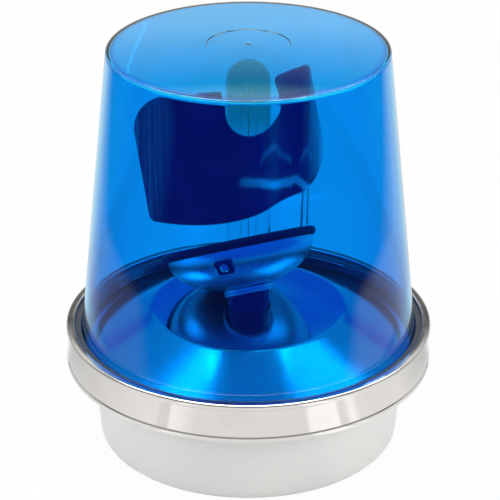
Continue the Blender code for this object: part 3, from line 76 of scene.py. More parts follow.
def surface(name, points, faces):
    """A mesh object from points and faces: doubles merged, loose edges dropped, faces turned outwards."""
    mesh = bpy.data.meshes.new(name)
    mesh.from_pydata(np.asarray(points, float).reshape(-1, 3).tolist(), [], [list(f) for f in faces])
    shape = bmesh.new()
    shape.from_mesh(mesh)
    bmesh.ops.remove_doubles(shape, verts=shape.verts, dist=WELD)
    bmesh.ops.delete(shape, geom=[e for e in shape.edges if not e.link_faces], context="EDGES")
    if shape.calc_volume(signed=True) < 0:
        bmesh.ops.reverse_faces(shape, faces=shape.faces)
    shape.to_mesh(mesh)
    shape.free()
    mesh.shade_smooth()
    mesh.set_sharp_from_angle(angle=SMOOTH_ANGLE)
    piece = bpy.data.objects.new(name, mesh)
    bpy.context.scene.collection.objects.link(piece)
    return piece


print("a grid of 4 by 5 points has", len(grid_faces(4, 5, False, False)), "faces, or",
      len(grid_faces(4, 5, True, True)), "when it closes both ways")

# %% [markdown]
# A profile is easiest to write as a few corners, each with the radius that rounds it, as on a workshop
# drawing. One helper rounds the corners, one carries the outline round the Z axis, and one does that for
# a plain rod.

# %% Outlines and turned pieces
def rounded(corners, steps=6):
    """A closed outline with round corners, from rows of (x, y, radius).

    At a corner whose sides meet at the angle 2h, the arc starts and ends radius / tan(h) from the corner
    and its centre is radius / sin(h) away, between the sides. Points on it blend the first and the last
    radius by sines of the angle turned so far.
    """
    table = np.asarray(corners, float)
    spot, radius = table[:, :2], table[:, 2:]
    back = np.roll(spot, 1, 0) - spot
    ahead = np.roll(spot, -1, 0) - spot
    back /= np.linalg.norm(back, axis=1, keepdims=True)
    ahead /= np.linalg.norm(ahead, axis=1, keepdims=True)
    half = np.arccos(np.clip((back * ahead).sum(1, keepdims=True), -1, 1)) / 2
    middle = back + ahead
    middle /= np.linalg.norm(middle, axis=1, keepdims=True)
    centre = spot + middle * radius / np.sin(half)
    first = spot + back * radius / np.tan(half) - centre
    last = spot + ahead * radius / np.tan(half) - centre
    share = np.linspace(0, 1, steps + 1)[None, :, None]
    sweep = (np.pi - 2 * half)[:, None, :]
    arc = (np.sin((1 - share) * sweep) * first[:, None] + np.sin(share * sweep) * last[:, None])
    return (centre[:, None] + arc / np.sin(sweep)).reshape(-1, 2)


def turned(name, outline, steps=192):
    """A closed (radius, height) outline carried round Z: (r cos a, r sin a, z) for every angle a."""
    outline = np.asarray(outline, float)
    angle = np.linspace(0, 2 * np.pi, steps, endpoint=False)
    r, z = outline[:, :1], outline[:, 1:]
    points = np.stack([r * np.cos(angle), r * np.sin(angle), z + 0 * angle], -1)
    return surface(name, points, grid_faces(len(outline), steps, True, True))


def rod(name, radius, low, high, steps=48):
    """A plain cylinder on the Z axis: a rectangle from the axis out to the radius, carried round."""
    return turned(name, [(0, high), (radius, high), (radius, low), (0, low)], steps)


test_square = rounded([(1, 1, 0.1), (1, -1, 0.1), (-1, -1, 0.1), (-1, 1, 0.1)])
print("a square with round corners has", len(test_square), "points, reaching", test_square.max().round(3))

# %% [markdown]
# Some pieces are cut by others: a slot in a screw, a hole in a sheet. A Boolean modifier does that, and
# its result is kept as a plain mesh so that nothing stays live. Pieces that are one part on the real
# light, such as a ring and its lugs, are joined into one object.

# %% Cutting, joining and placing
def cut(piece, tool, operation="DIFFERENCE"):
    """Applies a Boolean with another object, then removes that object."""
    change = piece.modifiers.new("cut", "BOOLEAN")
    change.operation = operation
    change.solver = "EXACT"
    change.object = tool
    graph = bpy.context.evaluated_depsgraph_get()
    mesh = bpy.data.meshes.new_from_object(piece.evaluated_get(graph))
    piece.modifiers.clear()
    piece.data = mesh
    bpy.data.objects.remove(tool)
    mesh.shade_smooth()
    mesh.set_sharp_from_angle(angle=SMOOTH_ANGLE)
    return piece


def joined(name, *pieces):
    """One object from several closed shells, each in its own place."""
    shape = bmesh.new()
    for piece in pieces:
        shape.from_mesh(piece.data)
        bpy.data.objects.remove(piece)
    mesh = bpy.data.meshes.new(name)
    shape.to_mesh(mesh)
    shape.free()
    mesh.shade_smooth()
    mesh.set_sharp_from_angle(angle=SMOOTH_ANGLE)
    whole = bpy.data.objects.new(name, mesh)
    bpy.context.scene.collection.objects.link(whole)
    return whole


def shift(x=0.0, y=0.0, z=0.0):
    """A move by x, y and z."""
    return Matrix.Translation((x, y, z))


def turn_about(axis, angle):
    """A turn about the X, Y or Z axis."""
    return Matrix.Rotation(angle, 4, axis)


def moved(piece, matrix):
    """Moves a piece by a matrix put into its mesh, so that its object stays at the origin."""
    piece.data.transform(matrix)
    return piece


def show(piece, body, slot, *nodes):
    """Puts a piece on its CAD body in place of CAD nodes, and says what it measures."""
    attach(piece, body)
    if nodes:
        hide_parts(*nodes)
    size = [round(1000 * side, 1) for side in piece.dimensions]
    print(f"{piece.name}: {len(piece.data.polygons)} faces, {size} mm, for {nodes}")
    return piece


# %% [markdown]
# The shapes that other pieces seat on come first: heights and radii shared by the base, the gasket, the
# dome and the clamp ring. They repeat the CAD's values, because each piece has to sit where its CAD
# solid sits.

# %% Shared sizes
GAP = 0.0003
BASE_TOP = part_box("base_housing")[1].z
FLANGE_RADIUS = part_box("base_housing")[1].x
DOME_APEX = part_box("dome")[1].z
DOME_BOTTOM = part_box("dome")[0].z
DOME_FLANGE_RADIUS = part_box("dome")[1].x
RING_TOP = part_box("clamp_ring")[1].z
RING_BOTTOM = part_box("clamp_ring")[0].z
RING_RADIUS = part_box("clamp_ring")[1].x
DECK_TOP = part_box("deck_cover")[1].z
LAMP_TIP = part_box("lamp_glass")[1].z
print("ring top at", round(RING_TOP, 4), "dome's highest edge at", round(DOME_APEX, 4))

# %% [markdown]
# The base is a light alloy casting: a shallow bowl that widens a little towards its mouth, with a flange
# that the clamp ring hooks under. Its outside is one profile turned round Z. The knockout disc is only a
# shallow groove in the underside, and the two screw holes are cut through the floor. Its corners are all
# rounded, as paint and casting leave them.

# %% Base housing
BASE_FOOT = 0.0703
BASE_NECK = 0.0736
BASE_NECK_TOP = 0.0390
BASE_FLOOR = 0.0040
BASE_WALL = 0.0032
FLANGE_THICKNESS = 0.0040
MOUTH_RADIUS = 0.0708
KNOCKOUT_RADIUS = 0.0111
GROOVE = 0.0008
MOUNT_HOLE_AT = 0.04445
MOUNT_HOLE_RADIUS = 0.0026
BOSS_CIRCLE = 0.0570
BOSS_ANGLES = (30, 150, 270)
BOSS_BORE = 0.0018
BOSS_TOP = 0.0357

base_outline = rounded([
    (0, BASE_FLOOR, 0),
    (BASE_FOOT - BASE_WALL, BASE_FLOOR, 0.0038),
    (BASE_NECK - BASE_WALL, BASE_NECK_TOP, 0.0010),
    (MOUTH_RADIUS, BASE_TOP - FLANGE_THICKNESS, 0.0010),
    (MOUTH_RADIUS, BASE_TOP, 0.0004),
    (FLANGE_RADIUS, BASE_TOP, 0.0005),
    (FLANGE_RADIUS, BASE_TOP - FLANGE_THICKNESS, 0.0006),
    (BASE_NECK + BASE_WALL, BASE_TOP - FLANGE_THICKNESS - 0.0012, 0.0010),
    (BASE_NECK, BASE_NECK_TOP, 0.0020),
    (BASE_FOOT, 0, 0.0040),
    (KNOCKOUT_RADIUS + GROOVE, 0, 0.0001),
    (KNOCKOUT_RADIUS + GROOVE / 2, GROOVE, 0.0001),
    (KNOCKOUT_RADIUS, 0, 0.0001),
    (0, 0, 0),
], 8)
base = turned("base_casting", base_outline, 224)
for side in (-1, 1):
    hole = rod("mount_hole", MOUNT_HOLE_RADIUS, -0.001, BASE_FLOOR + 0.002)
    cut(base, moved(hole, shift(side * MOUNT_HOLE_AT)))
bosses = []
for degrees in BOSS_ANGLES:
    boss = turned("boss", rounded([(BOSS_BORE, BOSS_TOP, 0), (0.0042, BOSS_TOP, 0.0006),
                                   (0.0046, BASE_FLOOR / 2, 0), (BOSS_BORE, BASE_FLOOR / 2, 0)], 4), 48)
    angle = math.radians(degrees)
    bosses.append(moved(boss, shift(BOSS_CIRCLE * math.cos(angle), BOSS_CIRCLE * math.sin(angle))))
base = joined("base_casting", base, *bosses)
show(base, "base", "cast_paint", "base_housing")

# %% [markdown]
# The gasket is a rubber channel that wraps the dome's foot flange, so that the clamp ring can squeeze it
# on the base without cracking the plastic. Its profile is a U lying on its side, and its two lips are
# the dark lines that show inside the ring.

# %% Gasket
GASKET_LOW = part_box("dome_gasket")[0].z
GASKET_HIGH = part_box("dome_gasket")[1].z
GASKET_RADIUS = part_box("dome_gasket")[1].x
GASKET_LIP = 0.0786
GASKET_LEG = 0.0015
web = DOME_FLANGE_RADIUS + GAP

gasket = turned("foot_gasket", rounded([
    (GASKET_LIP, GASKET_HIGH, 0.0006), (GASKET_RADIUS, GASKET_HIGH, 0.0008),
    (GASKET_RADIUS, GASKET_LOW, 0.0008), (GASKET_LIP, GASKET_LOW, 0.0006),
    (GASKET_LIP, GASKET_LOW + GASKET_LEG, 0.0005), (web, GASKET_LOW + GASKET_LEG, 0.0002),
    (web, GASKET_HIGH - GASKET_LEG, 0.0002), (GASKET_LIP, GASKET_HIGH - GASKET_LEG, 0.0005),
], 5))
show(gasket, "cover", "dark_rubber", "dome_gasket")

# %% [markdown]
# The dome is one thick moulding of clear tinted plastic: a low crowned top with a shallow round recess and
# the nub its gate left, a rim with a soft radius, a wall that leans out by a few degrees, and a foot
# flange. Both faces of the wall are modelled, because light bends at each of them and the bright and dark
# lines in the rim come from that. The crown is a parabola, which is a very flat ball as near as matters.

# %% Dome
DOME_WALL = 0.0030
DOME_SKIN = 0.0019
DOME_CROWN = 0.0022
DOME_SHOULDER = LAMP_TIP + 0.0039 + DOME_WALL
FOOT_RADIUS = 0.0780
TOP_RADIUS = 0.0638
RIM_RADIUS = 0.0013
INNER_RIM_RADIUS = 0.0016
RECESS_RADIUS = 0.0189
RECESS_DEPTH = 0.0003
FLANGE_TOP = DOME_BOTTOM + 0.0030
lean = (FOOT_RADIUS - TOP_RADIUS) / (DOME_SHOULDER - RING_TOP)


def wall_radius(height):
    """The outer wall is a straight line from the top's radius to the foot's."""
    return TOP_RADIUS + lean * (DOME_SHOULDER - height)


def crown_line(height, reach, start, end, steps):
    """Points (r, height + crown (1 - (r / reach)^2)) from one radius to another."""
    r = np.linspace(start, end, steps)
    return np.stack([r, height + DOME_CROWN * (1 - (r / reach) ** 2)], -1)


inner_top = DOME_SHOULDER - DOME_SKIN
reach = TOP_RADIUS - RIM_RADIUS
inner_reach = wall_radius(inner_top) - DOME_SKIN - INNER_RIM_RADIUS
recess = crown_line(DOME_SHOULDER - RECESS_DEPTH, reach, 0, RECESS_RADIUS - RECESS_DEPTH, 24)
nub = np.clip(1.5 - recess[:, 0] / 0.0011, 0, 1)
recess[:, 1] += 0.0004 * nub * nub * (3 - 2 * nub)
outside = crown_line(DOME_SHOULDER, reach, RECESS_RADIUS, reach, 36)
inside = crown_line(inner_top, inner_reach, inner_reach, 0, 40)
wall = rounded([
    tuple(outside[-2]) + (0,), (TOP_RADIUS, DOME_SHOULDER - 0.0001, RIM_RADIUS),
    (wall_radius(FLANGE_TOP), FLANGE_TOP, 0.0010), (DOME_FLANGE_RADIUS, FLANGE_TOP, 0.0005),
    (DOME_FLANGE_RADIUS, DOME_BOTTOM, 0.0005),
    (wall_radius(DOME_BOTTOM) - DOME_SKIN, DOME_BOTTOM, 0.0005),
    (wall_radius(inner_top) - DOME_SKIN, inner_top, INNER_RIM_RADIUS), tuple(inside[1]) + (0,),
], 12)
dome = turned("dome_shell", np.concatenate([recess, outside[:-2], wall, inside[2:]]), 256)
middle = np.array([face.center for face in dome.data.polygons])
# The top's faces get the second slot, a paler tint that paints the hazy reflection on the dome's top.
top = (middle[:, 2] > inner_top - 0.0001) & (np.hypot(middle[:, 0], middle[:, 1]) < inner_reach)
dome.data.polygons.foreach_set("material_index", top.astype(int))
show(dome, "cover", "blue_dome", "dome")

# %% [markdown]
# The clamp ring is a band of polished stainless steel. Its edges are rolled, and its upper lip turns in
# over the gasket. It is split at the back, where two bent lugs take a screw. So its section is carried
# round from one side of the split to the other and closed by a face at each end.

# %% Clamp ring's band
RING_SPLIT = 0.0050
BAND_RADIUS = RING_RADIUS - 0.0004
BAND_INNER = FLANGE_RADIUS + 0.0004
LIP_RADIUS = 0.0818
LIP_THICKNESS = 0.0012
half_split = math.asin(RING_SPLIT / 2 / BAND_INNER)

section = rounded([
    (LIP_RADIUS, RING_TOP, 0.0005),
    (RING_RADIUS, RING_TOP, 0.0009),
    (RING_RADIUS, RING_TOP - 0.0024, 0.0007),
    (BAND_RADIUS, RING_TOP - 0.0029, 0.0003),
    (BAND_RADIUS, RING_BOTTOM + 0.0029, 0.0003),
    (RING_RADIUS, RING_BOTTOM + 0.0024, 0.0007),
    (RING_RADIUS, RING_BOTTOM, 0.0009),
    (BAND_INNER, RING_BOTTOM, 0.0003),
    (BAND_INNER, RING_TOP - LIP_THICKNESS, 0.0002),
    (LIP_RADIUS, RING_TOP - LIP_THICKNESS, 0.0004),
], 7)
round_steps = 320
angle = np.linspace(np.pi / 2 + half_split, 5 * np.pi / 2 - half_split, round_steps)
r, z = section[:, :1], section[:, 1:]
points = np.stack([r * np.cos(angle), r * np.sin(angle), z + 0 * angle], -1)
quads = grid_faces(len(section), round_steps, True, False).tolist()
first_end = (np.arange(len(section)) * round_steps).tolist()
last_end = (np.arange(len(section)) * round_steps + round_steps - 1).tolist()
band = surface("ring_band", points, quads + [first_end, last_end[::-1]])
print("the ring's band has", len(section), "points in its section and", round_steps, "sections")

# %% [markdown]
# Each lug is a plate with a hole for the screw. Rays from the hole's centre cut its outline and the hole,
# so a small section can be carried round them as it was round the Z axis.

# %% Lugs
LUG_THICKNESS = 0.0016
LUG_REACH = 0.0075
LUG_LOW = RING_BOTTOM + 0.0045
LUG_HEIGHT = 0.0100
LUG_OUT = RING_RADIUS + LUG_REACH
LUG_CORNER = 0.0034
SCREW_AT = RING_RADIUS + LUG_REACH / 2
SCREW_HOLE = 0.0020
SCREW_HEIGHT = LUG_LOW + LUG_HEIGHT / 2


def slab_with_hole(name, outline, centre, hole_radius, thickness, edge):
    """A plate round a hole: its outline and the hole, both cut by rays from the hole's centre.

    Along each ray the section is a small rectangle with cut corners, from the hole out to the outline.
    """
    outline = np.asarray(outline, float) - centre
    reach = np.linalg.norm(outline, axis=1, keepdims=True)
    ray = outline / reach
    rows = [
        (hole_radius, edge), (hole_radius + edge, 0), (-edge, 0), (0, edge),
        (0, thickness - edge), (-edge, thickness), (hole_radius + edge, thickness),
        (hole_radius, thickness - edge),
    ]
    layers = []
    for out, high in rows:
        distance = reach + out if out <= 0 else out + 0 * reach
        layers.append(np.concatenate([centre + ray * distance, high + 0 * reach], 1))
    points = np.stack(layers, 0)
    return surface(name, points, grid_faces(len(rows), len(outline), True, True))


stand = Matrix(((0, 0, 1, 0), (1, 0, 0, 0), (0, 1, 0, 0), (0, 0, 0, 1)))
lugs = []
for side in (-1, 1):
    outline = rounded([(BAND_INNER + 0.0002, LUG_LOW, 0.0003), (LUG_OUT, LUG_LOW, LUG_CORNER),
                       (LUG_OUT, LUG_LOW + LUG_HEIGHT, LUG_CORNER),
                       (BAND_INNER + 0.0002, LUG_LOW + LUG_HEIGHT, 0.0003)], 12)
    lug = slab_with_hole("lug", outline, (SCREW_AT, SCREW_HEIGHT), SCREW_HOLE, LUG_THICKNESS, 0.0002)
    inner_face = RING_SPLIT / 2 if side > 0 else -RING_SPLIT / 2 - LUG_THICKNESS
    lugs.append(moved(lug, shift(inner_face) @ stand))
ring = joined("clamp_band", band, *lugs)
show(ring, "cover", "polished_steel", "clamp_ring")

# %% [markdown]
# The clamp screw is a slotted machine screw with a real thread, and its nut is a small square one. A
# thread is easy as a surface: the radius at each height and angle depends on how far the height is from
# the nearest turn of the helix.

# %% Clamp screw and nut
def threaded(name, low, high, radius, depth, pitch, steps=40, per_turn=8):
    """A rod whose radius is R - depth * |2 * part(z / pitch - a / 2 pi) - 1|, closed at both ends."""
    rows = int((high - low) / pitch * per_turn)
    z = np.linspace(high, low, rows)[:, None]
    a = np.linspace(0, 2 * np.pi, steps, endpoint=False)[None, :]
    part = (z / pitch - a / (2 * np.pi)) % 1
    r = radius - depth * np.abs(2 * part - 1)
    r[0] = r[-1] = radius - depth
    r = np.concatenate([0 * a, r, 0 * a], 0)
    z = np.concatenate([[[high]], z, [[low]]], 0)
    points = np.stack([r * np.cos(a), r * np.sin(a), z + 0 * a], -1)
    return surface(name, points, grid_faces(rows + 2, steps, False, True))


def slot_cutter(width, low, high, reach):
    """A flat bar across X that cuts a screwdriver's slot."""
    squash = Matrix.Diagonal((1, width / reach / math.sqrt(2), 1, 1))
    return moved(rod("slot", reach, low, high, 4), squash @ turn_about("Z", math.pi / 4))


HEAD_RADIUS = 0.0034
HEAD_HEIGHT = 0.0024
NUT_SIDE = 0.0033
NUT_THICKNESS = 0.0026
across = shift(0, SCREW_AT, SCREW_HEIGHT) @ turn_about("Y", math.pi / 2)
half = RING_SPLIT / 2 + LUG_THICKNESS
head = half + GAP
screw_head = turned("head", rounded([
    (0, head + HEAD_HEIGHT, 0), (HEAD_RADIUS, head + HEAD_HEIGHT, 0.0007), (HEAD_RADIUS, head, 0.0002),
    (0, head, 0)], 5), 64)
cut(screw_head, slot_cutter(0.0008, head + 0.0014, head + 0.003, 0.006))
shank = threaded("shank", -half - 0.0060, head, 0.0017, 0.0002, 0.0006)
clamp_screw = moved(joined("clamp_bolt", screw_head, shank), across)
show(clamp_screw, "cover", "plated_steel", "clamp_screw")

square = rounded([(NUT_SIDE * x, NUT_SIDE * y, 0.0004) for x, y in ((1, -1), (1, 1), (-1, 1), (-1, -1))], 10)
clamp_nut = slab_with_hole("clamp_square_nut", square, (0, 0), SCREW_HOLE, NUT_THICKNESS, 0.0003)
moved(clamp_nut, across @ shift(0, 0, -half - GAP - NUT_THICKNESS))
show(clamp_nut, "cover", "plated_steel", "clamp_nut")

# %% [markdown]
# The deck is a bright spun cover that hides the gears. It is a thin sheet, so its profile has two faces
# the same distance apart, with soft bends where the spinning tool turned it. Its flat top is smoother
# than its cone, so those faces get the second slot.

# %% Deck
DECK_SHEET = 0.0012
DECK_HOLE = 0.0104
DECK_FLAT = 0.0459
DECK_SKIRT = 0.0715
DECK_RIM = 0.0776
FOOT_TOP = BASE_TOP + GAP + DECK_SHEET
slope = np.array([DECK_SKIRT - DECK_FLAT, FOOT_TOP - DECK_TOP])
inward = np.array([-slope[1], slope[0]]) / np.linalg.norm(slope) * DECK_SHEET

deck = turned("spun_deck", rounded([
    (DECK_HOLE, DECK_TOP, 0.0004), (DECK_FLAT, DECK_TOP, 0.0060),
    (DECK_SKIRT, FOOT_TOP, 0.0016), (DECK_RIM, FOOT_TOP, 0.0004),
    (DECK_RIM, FOOT_TOP - DECK_SHEET, 0.0004), (DECK_SKIRT - inward[0], FOOT_TOP - DECK_SHEET, 0.0004),
    (DECK_FLAT - inward[0], DECK_TOP - DECK_SHEET, 0.0048),
    (DECK_HOLE, DECK_TOP - DECK_SHEET, 0.0004),
], 8), 224)
middle = np.array([face.center for face in deck.data.polygons])
flat = (middle[:, 2] > DECK_TOP - 0.0002) & (np.hypot(middle[:, 0], middle[:, 1]) > DECK_HOLE + 0.0005)
deck.data.polygons.foreach_set("material_index", flat.astype(int))
show(deck, "base", "bright_deck", "deck_cover")

# %% [markdown]
# The lower reflector is a bowl with an oval section, tilted so that it throws light up and out, with a
# rolled rim. The sleeve passes through a hole that is round when seen from above, so the bowl's wall has
# to stop at a different depth at each angle. That depth is found by halving: for every angle at once,
# the point half way down is tested for its distance from the Z axis.

# %% Bowl's oval and its hole
BOWL_RADIUS = TOP_RADIUS * 0.542
BOWL_DEPTH = 0.0190
BOWL_SHEET = 0.0012
BOWL_TILT = math.radians(28.7)
BOWL_TURN = math.radians(114.7)
BOWL_POLE = 0.0728
BEAD_RADIUS = 0.0021
HOLE_RADIUS = 0.0102

bowl_place = (shift(z=BOWL_POLE) @ turn_about("Z", BOWL_TURN) @ turn_about("Y", BOWL_TILT)
              @ shift(z=BOWL_DEPTH))
bowl_axes = np.array(bowl_place)


def bowl_point(around, down, inset):
    """A point on the oval: (R cos d cos a, R cos d sin a, -D sin d), R and D less the inset, placed."""
    r = (BOWL_RADIUS - inset) * np.cos(down)
    z = -(BOWL_DEPTH - inset) * np.sin(down)
    local = np.stack([r * np.cos(around), r * np.sin(around), z], -1)
    return local @ bowl_axes[:3, :3].T + bowl_axes[:3, 3]


def hole_depth(around, inset):
    """How far down the oval its wall meets the hole, found for all angles by 40 halvings."""
    low, high = 0 * around, 0 * around + np.pi / 2
    for _ in range(40):
        middle = (low + high) / 2
        spot = bowl_point(around, middle, inset)
        outside = np.hypot(spot[..., 0], spot[..., 1]) > HOLE_RADIUS
        low, high = np.where(outside, middle, low), np.where(outside, high, middle)
    return low


around = np.linspace(0, 2 * np.pi, 224, endpoint=False)
depths = hole_depth(around, 0)
print("the hole lies", np.degrees([depths.min(), depths.max()]).round(1), "degrees down the oval")

# %% [markdown]
# The sheet is the oval's outer wall down to the hole and the inner wall back up, and the rim is a bead, a
# ring of small circles. The faces inside the bowl and the rim get the second slot.

# %% Bowl's sheet and rim
share = np.linspace(0, 1, 30)[:, None]
outer_wall = bowl_point(around + 0 * share, share * depths, 0)
inner_wall = bowl_point(around + 0 * share, share[::-1] * hole_depth(around, BOWL_SHEET), BOWL_SHEET)
turn = np.linspace(0, 2 * np.pi, 24, endpoint=False)[:, None]
bead_r = BOWL_RADIUS + BEAD_RADIUS * np.cos(turn)
bead_z = BEAD_RADIUS + BEAD_RADIUS * np.sin(turn) + 0 * around
bead = np.stack([bead_r * np.cos(around), bead_r * np.sin(around), bead_z], -1)
bead = bead @ bowl_axes[:3, :3].T + bowl_axes[:3, 3]
points = np.concatenate([outer_wall, inner_wall], 0)
sheet = surface("bowl_sheet", points, grid_faces(len(points), len(around), True, True))

# Faces nearer the bowl's inside than the middle of its sheet
middle = np.array([face.center for face in sheet.data.polygons])
middle = (middle - bowl_axes[:3, 3]) @ bowl_axes[:3, :3]
grown = np.hypot(np.hypot(middle[:, 0], middle[:, 1]) / (BOWL_RADIUS - BOWL_SHEET / 2),
                 middle[:, 2] / (BOWL_DEPTH - BOWL_SHEET / 2))
# These faces and the rim later take a dark dull colour, which is painted shade in place of bright metal.
sheet.data.polygons.foreach_set("material_index", (grown < 1).astype(int))
rim = surface("bowl_rim", bead, grid_faces(len(bead), len(around), True, True))
rim.data.polygons.foreach_set("material_index", [1] * len(rim.data.polygons))
bowl = joined("bowl_reflector", sheet, rim)
show(bowl, "reflector", "bright_bowl", "lower_reflector")

# %% [markdown]
# The sleeve is the turned tube that runs round the lamp socket. A thin collar stands round it, square to
# the bowl instead of to the tube, because the bowl is soldered on it. The collar is cut by the bowl's
# own oval and by the tube.

# %% Sleeve
SLEEVE_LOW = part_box("rotor_sleeve")[0].z
SLEEVE_HIGH = 0.0775
SLEEVE_RADIUS = 0.0099
SLEEVE_BORE = 0.0089
SHOULDER_RADIUS = 0.0150
COLLAR_RADIUS = 0.0116
COLLAR_LOW = -BOWL_DEPTH - 0.0020
SHOULDER_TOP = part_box("drive_gear")[0].z - GAP

tube = turned("sleeve_tube", rounded([
    (SLEEVE_BORE, SLEEVE_HIGH, 0.0003), (SLEEVE_RADIUS, SLEEVE_HIGH, 0.0003),
    (SLEEVE_RADIUS, SHOULDER_TOP, 0.0002), (SHOULDER_RADIUS, SHOULDER_TOP, 0.0003),
    (SHOULDER_RADIUS, SHOULDER_TOP - 0.0018, 0.0003), (SLEEVE_RADIUS, SHOULDER_TOP - 0.0018, 0.0002),
    (SLEEVE_RADIUS, SLEEVE_LOW, 0.0003), (SLEEVE_BORE, SLEEVE_LOW, 0.0003),
], 4), 128)
collar = turned("collar", rounded([
    (0, COLLAR_LOW + 0.0060, 0), (COLLAR_RADIUS, COLLAR_LOW + 0.0060, 0),
    (COLLAR_RADIUS, COLLAR_LOW + 0.0016, 0.0003), (COLLAR_RADIUS - 0.0003, COLLAR_LOW + 0.0012, 0.0002),
    (COLLAR_RADIUS, COLLAR_LOW + 0.0008, 0.0002), (COLLAR_RADIUS, COLLAR_LOW, 0.0003),
    (0, COLLAR_LOW, 0),
], 5), 128)
moved(collar, bowl_place)
half_turn = np.linspace(0, np.pi, 49)
oval = np.stack([(BOWL_RADIUS + GAP) * np.sin(half_turn), (BOWL_DEPTH + GAP) * np.cos(half_turn)], -1)
cut(collar, moved(turned("oval", oval, 128), bowl_place))
cut(collar, rod("bore", SLEEVE_RADIUS - 0.0001, 0.05, 0.09, 128))
collar.data.polygons.foreach_set("material_index", [1] * len(collar.data.polygons))
sleeve = joined("rotor_tube", tube, collar)
show(sleeve, "reflector", "bright_bowl", "rotor_sleeve")

# %% [markdown]
# The hood is a sheet bent about upright lines, so it has one plan curve seen from above and an outline
# seen from the front. A smooth curve through a few measured points gives the plan. The points are shares
# of the hood's width and depth.

# %% Hood's plan
HOOD_SHARES = np.array([
    (0.000, 0.132), (0.112, 0.054), (0.236, 0.006), (0.360, 0.000), (0.461, 0.031),
    (0.551, 0.093), (0.624, 0.171), (0.680, 0.264), (0.736, 0.380), (0.798, 0.481),
    (0.871, 0.581), (0.938, 0.736), (0.989, 0.938), (1.000, 1.000),
])
HOOD_SHEET = 0.0012
HOOD_LEFT = TOP_RADIUS * 0.787
HOOD_FRONT = TOP_RADIUS * 0.478
HOOD_WIDTH = TOP_RADIUS * 1.357
HOOD_DEPTH = TOP_RADIUS * 1.011
HOOD_LOW = LAMP_TIP * 0.647
HOOD_HIGH = LAMP_TIP - 0.0040
LAMP_RADIUS = 0.0103


def smooth_path(knots, steps):
    """A Catmull-Rom curve: between knots b and c its point at t is half of
    2b + (c - a) t + (2a - 5b + 4c - d) t^2 + (3b - a - 3c + d) t^3, with a and d the knots beside."""
    ends = np.concatenate([knots[:1], knots, knots[-1:]])
    a, b, c, d = (ends[k:len(ends) - 3 + k, None, :] for k in range(4))
    t = np.linspace(0, 1, steps, endpoint=False)[None, :, None]
    curve = 0.5 * (2 * b + (c - a) * t + (2 * a - 5 * b + 4 * c - d) * t ** 2
                   + (3 * b - a - 3 * c + d) * t ** 3)
    return np.concatenate([curve.reshape(-1, knots.shape[1]), knots[-1:]])


plan = smooth_path(HOOD_SHARES * (HOOD_WIDTH, HOOD_DEPTH) - (HOOD_LEFT, HOOD_FRONT), 10)
plan_along = np.gradient(plan, axis=0)
plan_along /= np.linalg.norm(plan_along, axis=1, keepdims=True)
plan_out = np.stack([plan_along[:, 1], -plan_along[:, 0]], -1)
print("hood clears the lamp by", round(1000 * (np.linalg.norm(plan, axis=1).min() - LAMP_RADIUS
                                              - HOOD_SHEET / 2), 2), "mm")

# %% [markdown]
# The sheet's two faces stand half its thickness to each side of the plan. The outline, with the notch that
# lets the lamp show, is a prism that trims it. A folded hem runs above the lower edge.

# %% Hood's sheet and hem
def ribbon(name, low, high, near, far):
    """A strip along the hood's plan between two heights, its faces at two distances from the plan."""
    inner, outer = plan + plan_out * near, plan + plan_out * far
    rows = [(outer, high), (outer, low), (inner, low), (inner, high)]
    points = np.stack([np.concatenate([line, z + 0 * line[:, :1]], 1) for line, z in rows], 0)
    count = len(plan)
    quads = grid_faces(4, count, True, False).tolist()
    ends = [[0, count, 2 * count, 3 * count], [4 * count - 1, 3 * count - 1, 2 * count - 1, count - 1]]
    return surface(name, points, quads + ends)


left, right = plan[0, 0], plan[-1, 0] - HOOD_SHEET
notch_left, notch_right = LAMP_RADIUS * 0.97, LAMP_RADIUS * 1.41
notch_low = HOOD_HIGH - 0.0230
notch_width = notch_left + notch_right
right_high = HOOD_HIGH - 0.0012
lip = 0.0015
top_left = (-notch_left - 0.0023 - left) * 0.50
outline = rounded([
    (left + 0.0064, HOOD_LOW, 0.0030), (right, HOOD_LOW, 0.0100),
    (right, HOOD_HIGH - (HOOD_HIGH - HOOD_LOW) * 0.73, 0.0300), (right - 0.0077, right_high, 0.0040),
    (notch_right - 0.0033, right_high, lip), (notch_right, right_high - 0.0120, 0.0030),
    (notch_right, notch_low, notch_width * 0.35), (-notch_left, notch_low, notch_width * 0.61),
    (-notch_left, HOOD_HIGH - 0.0045, 0.0030), (-notch_left - 0.0023, HOOD_HIGH, lip),
    (left, HOOD_HIGH, top_left), (left, HOOD_HIGH - top_left * 1.02, 0),
], 16)


def prism(name, outline):
    """A solid from an (x, z) outline pushed through along Y."""
    count = len(outline)
    reach = np.array([[-0.1], [0.1]])[:, None, :] + 0 * outline[None, :, :1]
    flat = np.broadcast_to(outline, (2, count, 2))
    points = np.concatenate([flat[..., :1], reach, flat[..., 1:]], -1)
    ends = [list(range(count)), list(range(2 * count - 1, count - 1, -1))]
    return surface(name, points, grid_faces(2, count, False, True).tolist() + ends)


hood = cut(ribbon("hood", HOOD_LOW - 0.001, HOOD_HIGH + 0.001, -HOOD_SHEET / 2, HOOD_SHEET / 2),
           prism("hood_outline", outline), "INTERSECT")
hem = cut(ribbon("hem", HOOD_LOW + 0.0025, HOOD_LOW + 0.0029, 0, HOOD_SHEET / 2 + 0.0002),
          prism("hem_outline", outline), "INTERSECT")
hood = joined("hood_reflector", hood, hem)
# The hood's dark glossy colour is painted shade: a dark reflection in place of its bright metal.
show(hood, "reflector", "dark_gloss", "upper_reflector")

# %% [markdown]
# Wires, leads and the filament are tubes along a path. A tube's section stands square to its path, and
# the two directions across it come from the path's own direction and one fixed direction.

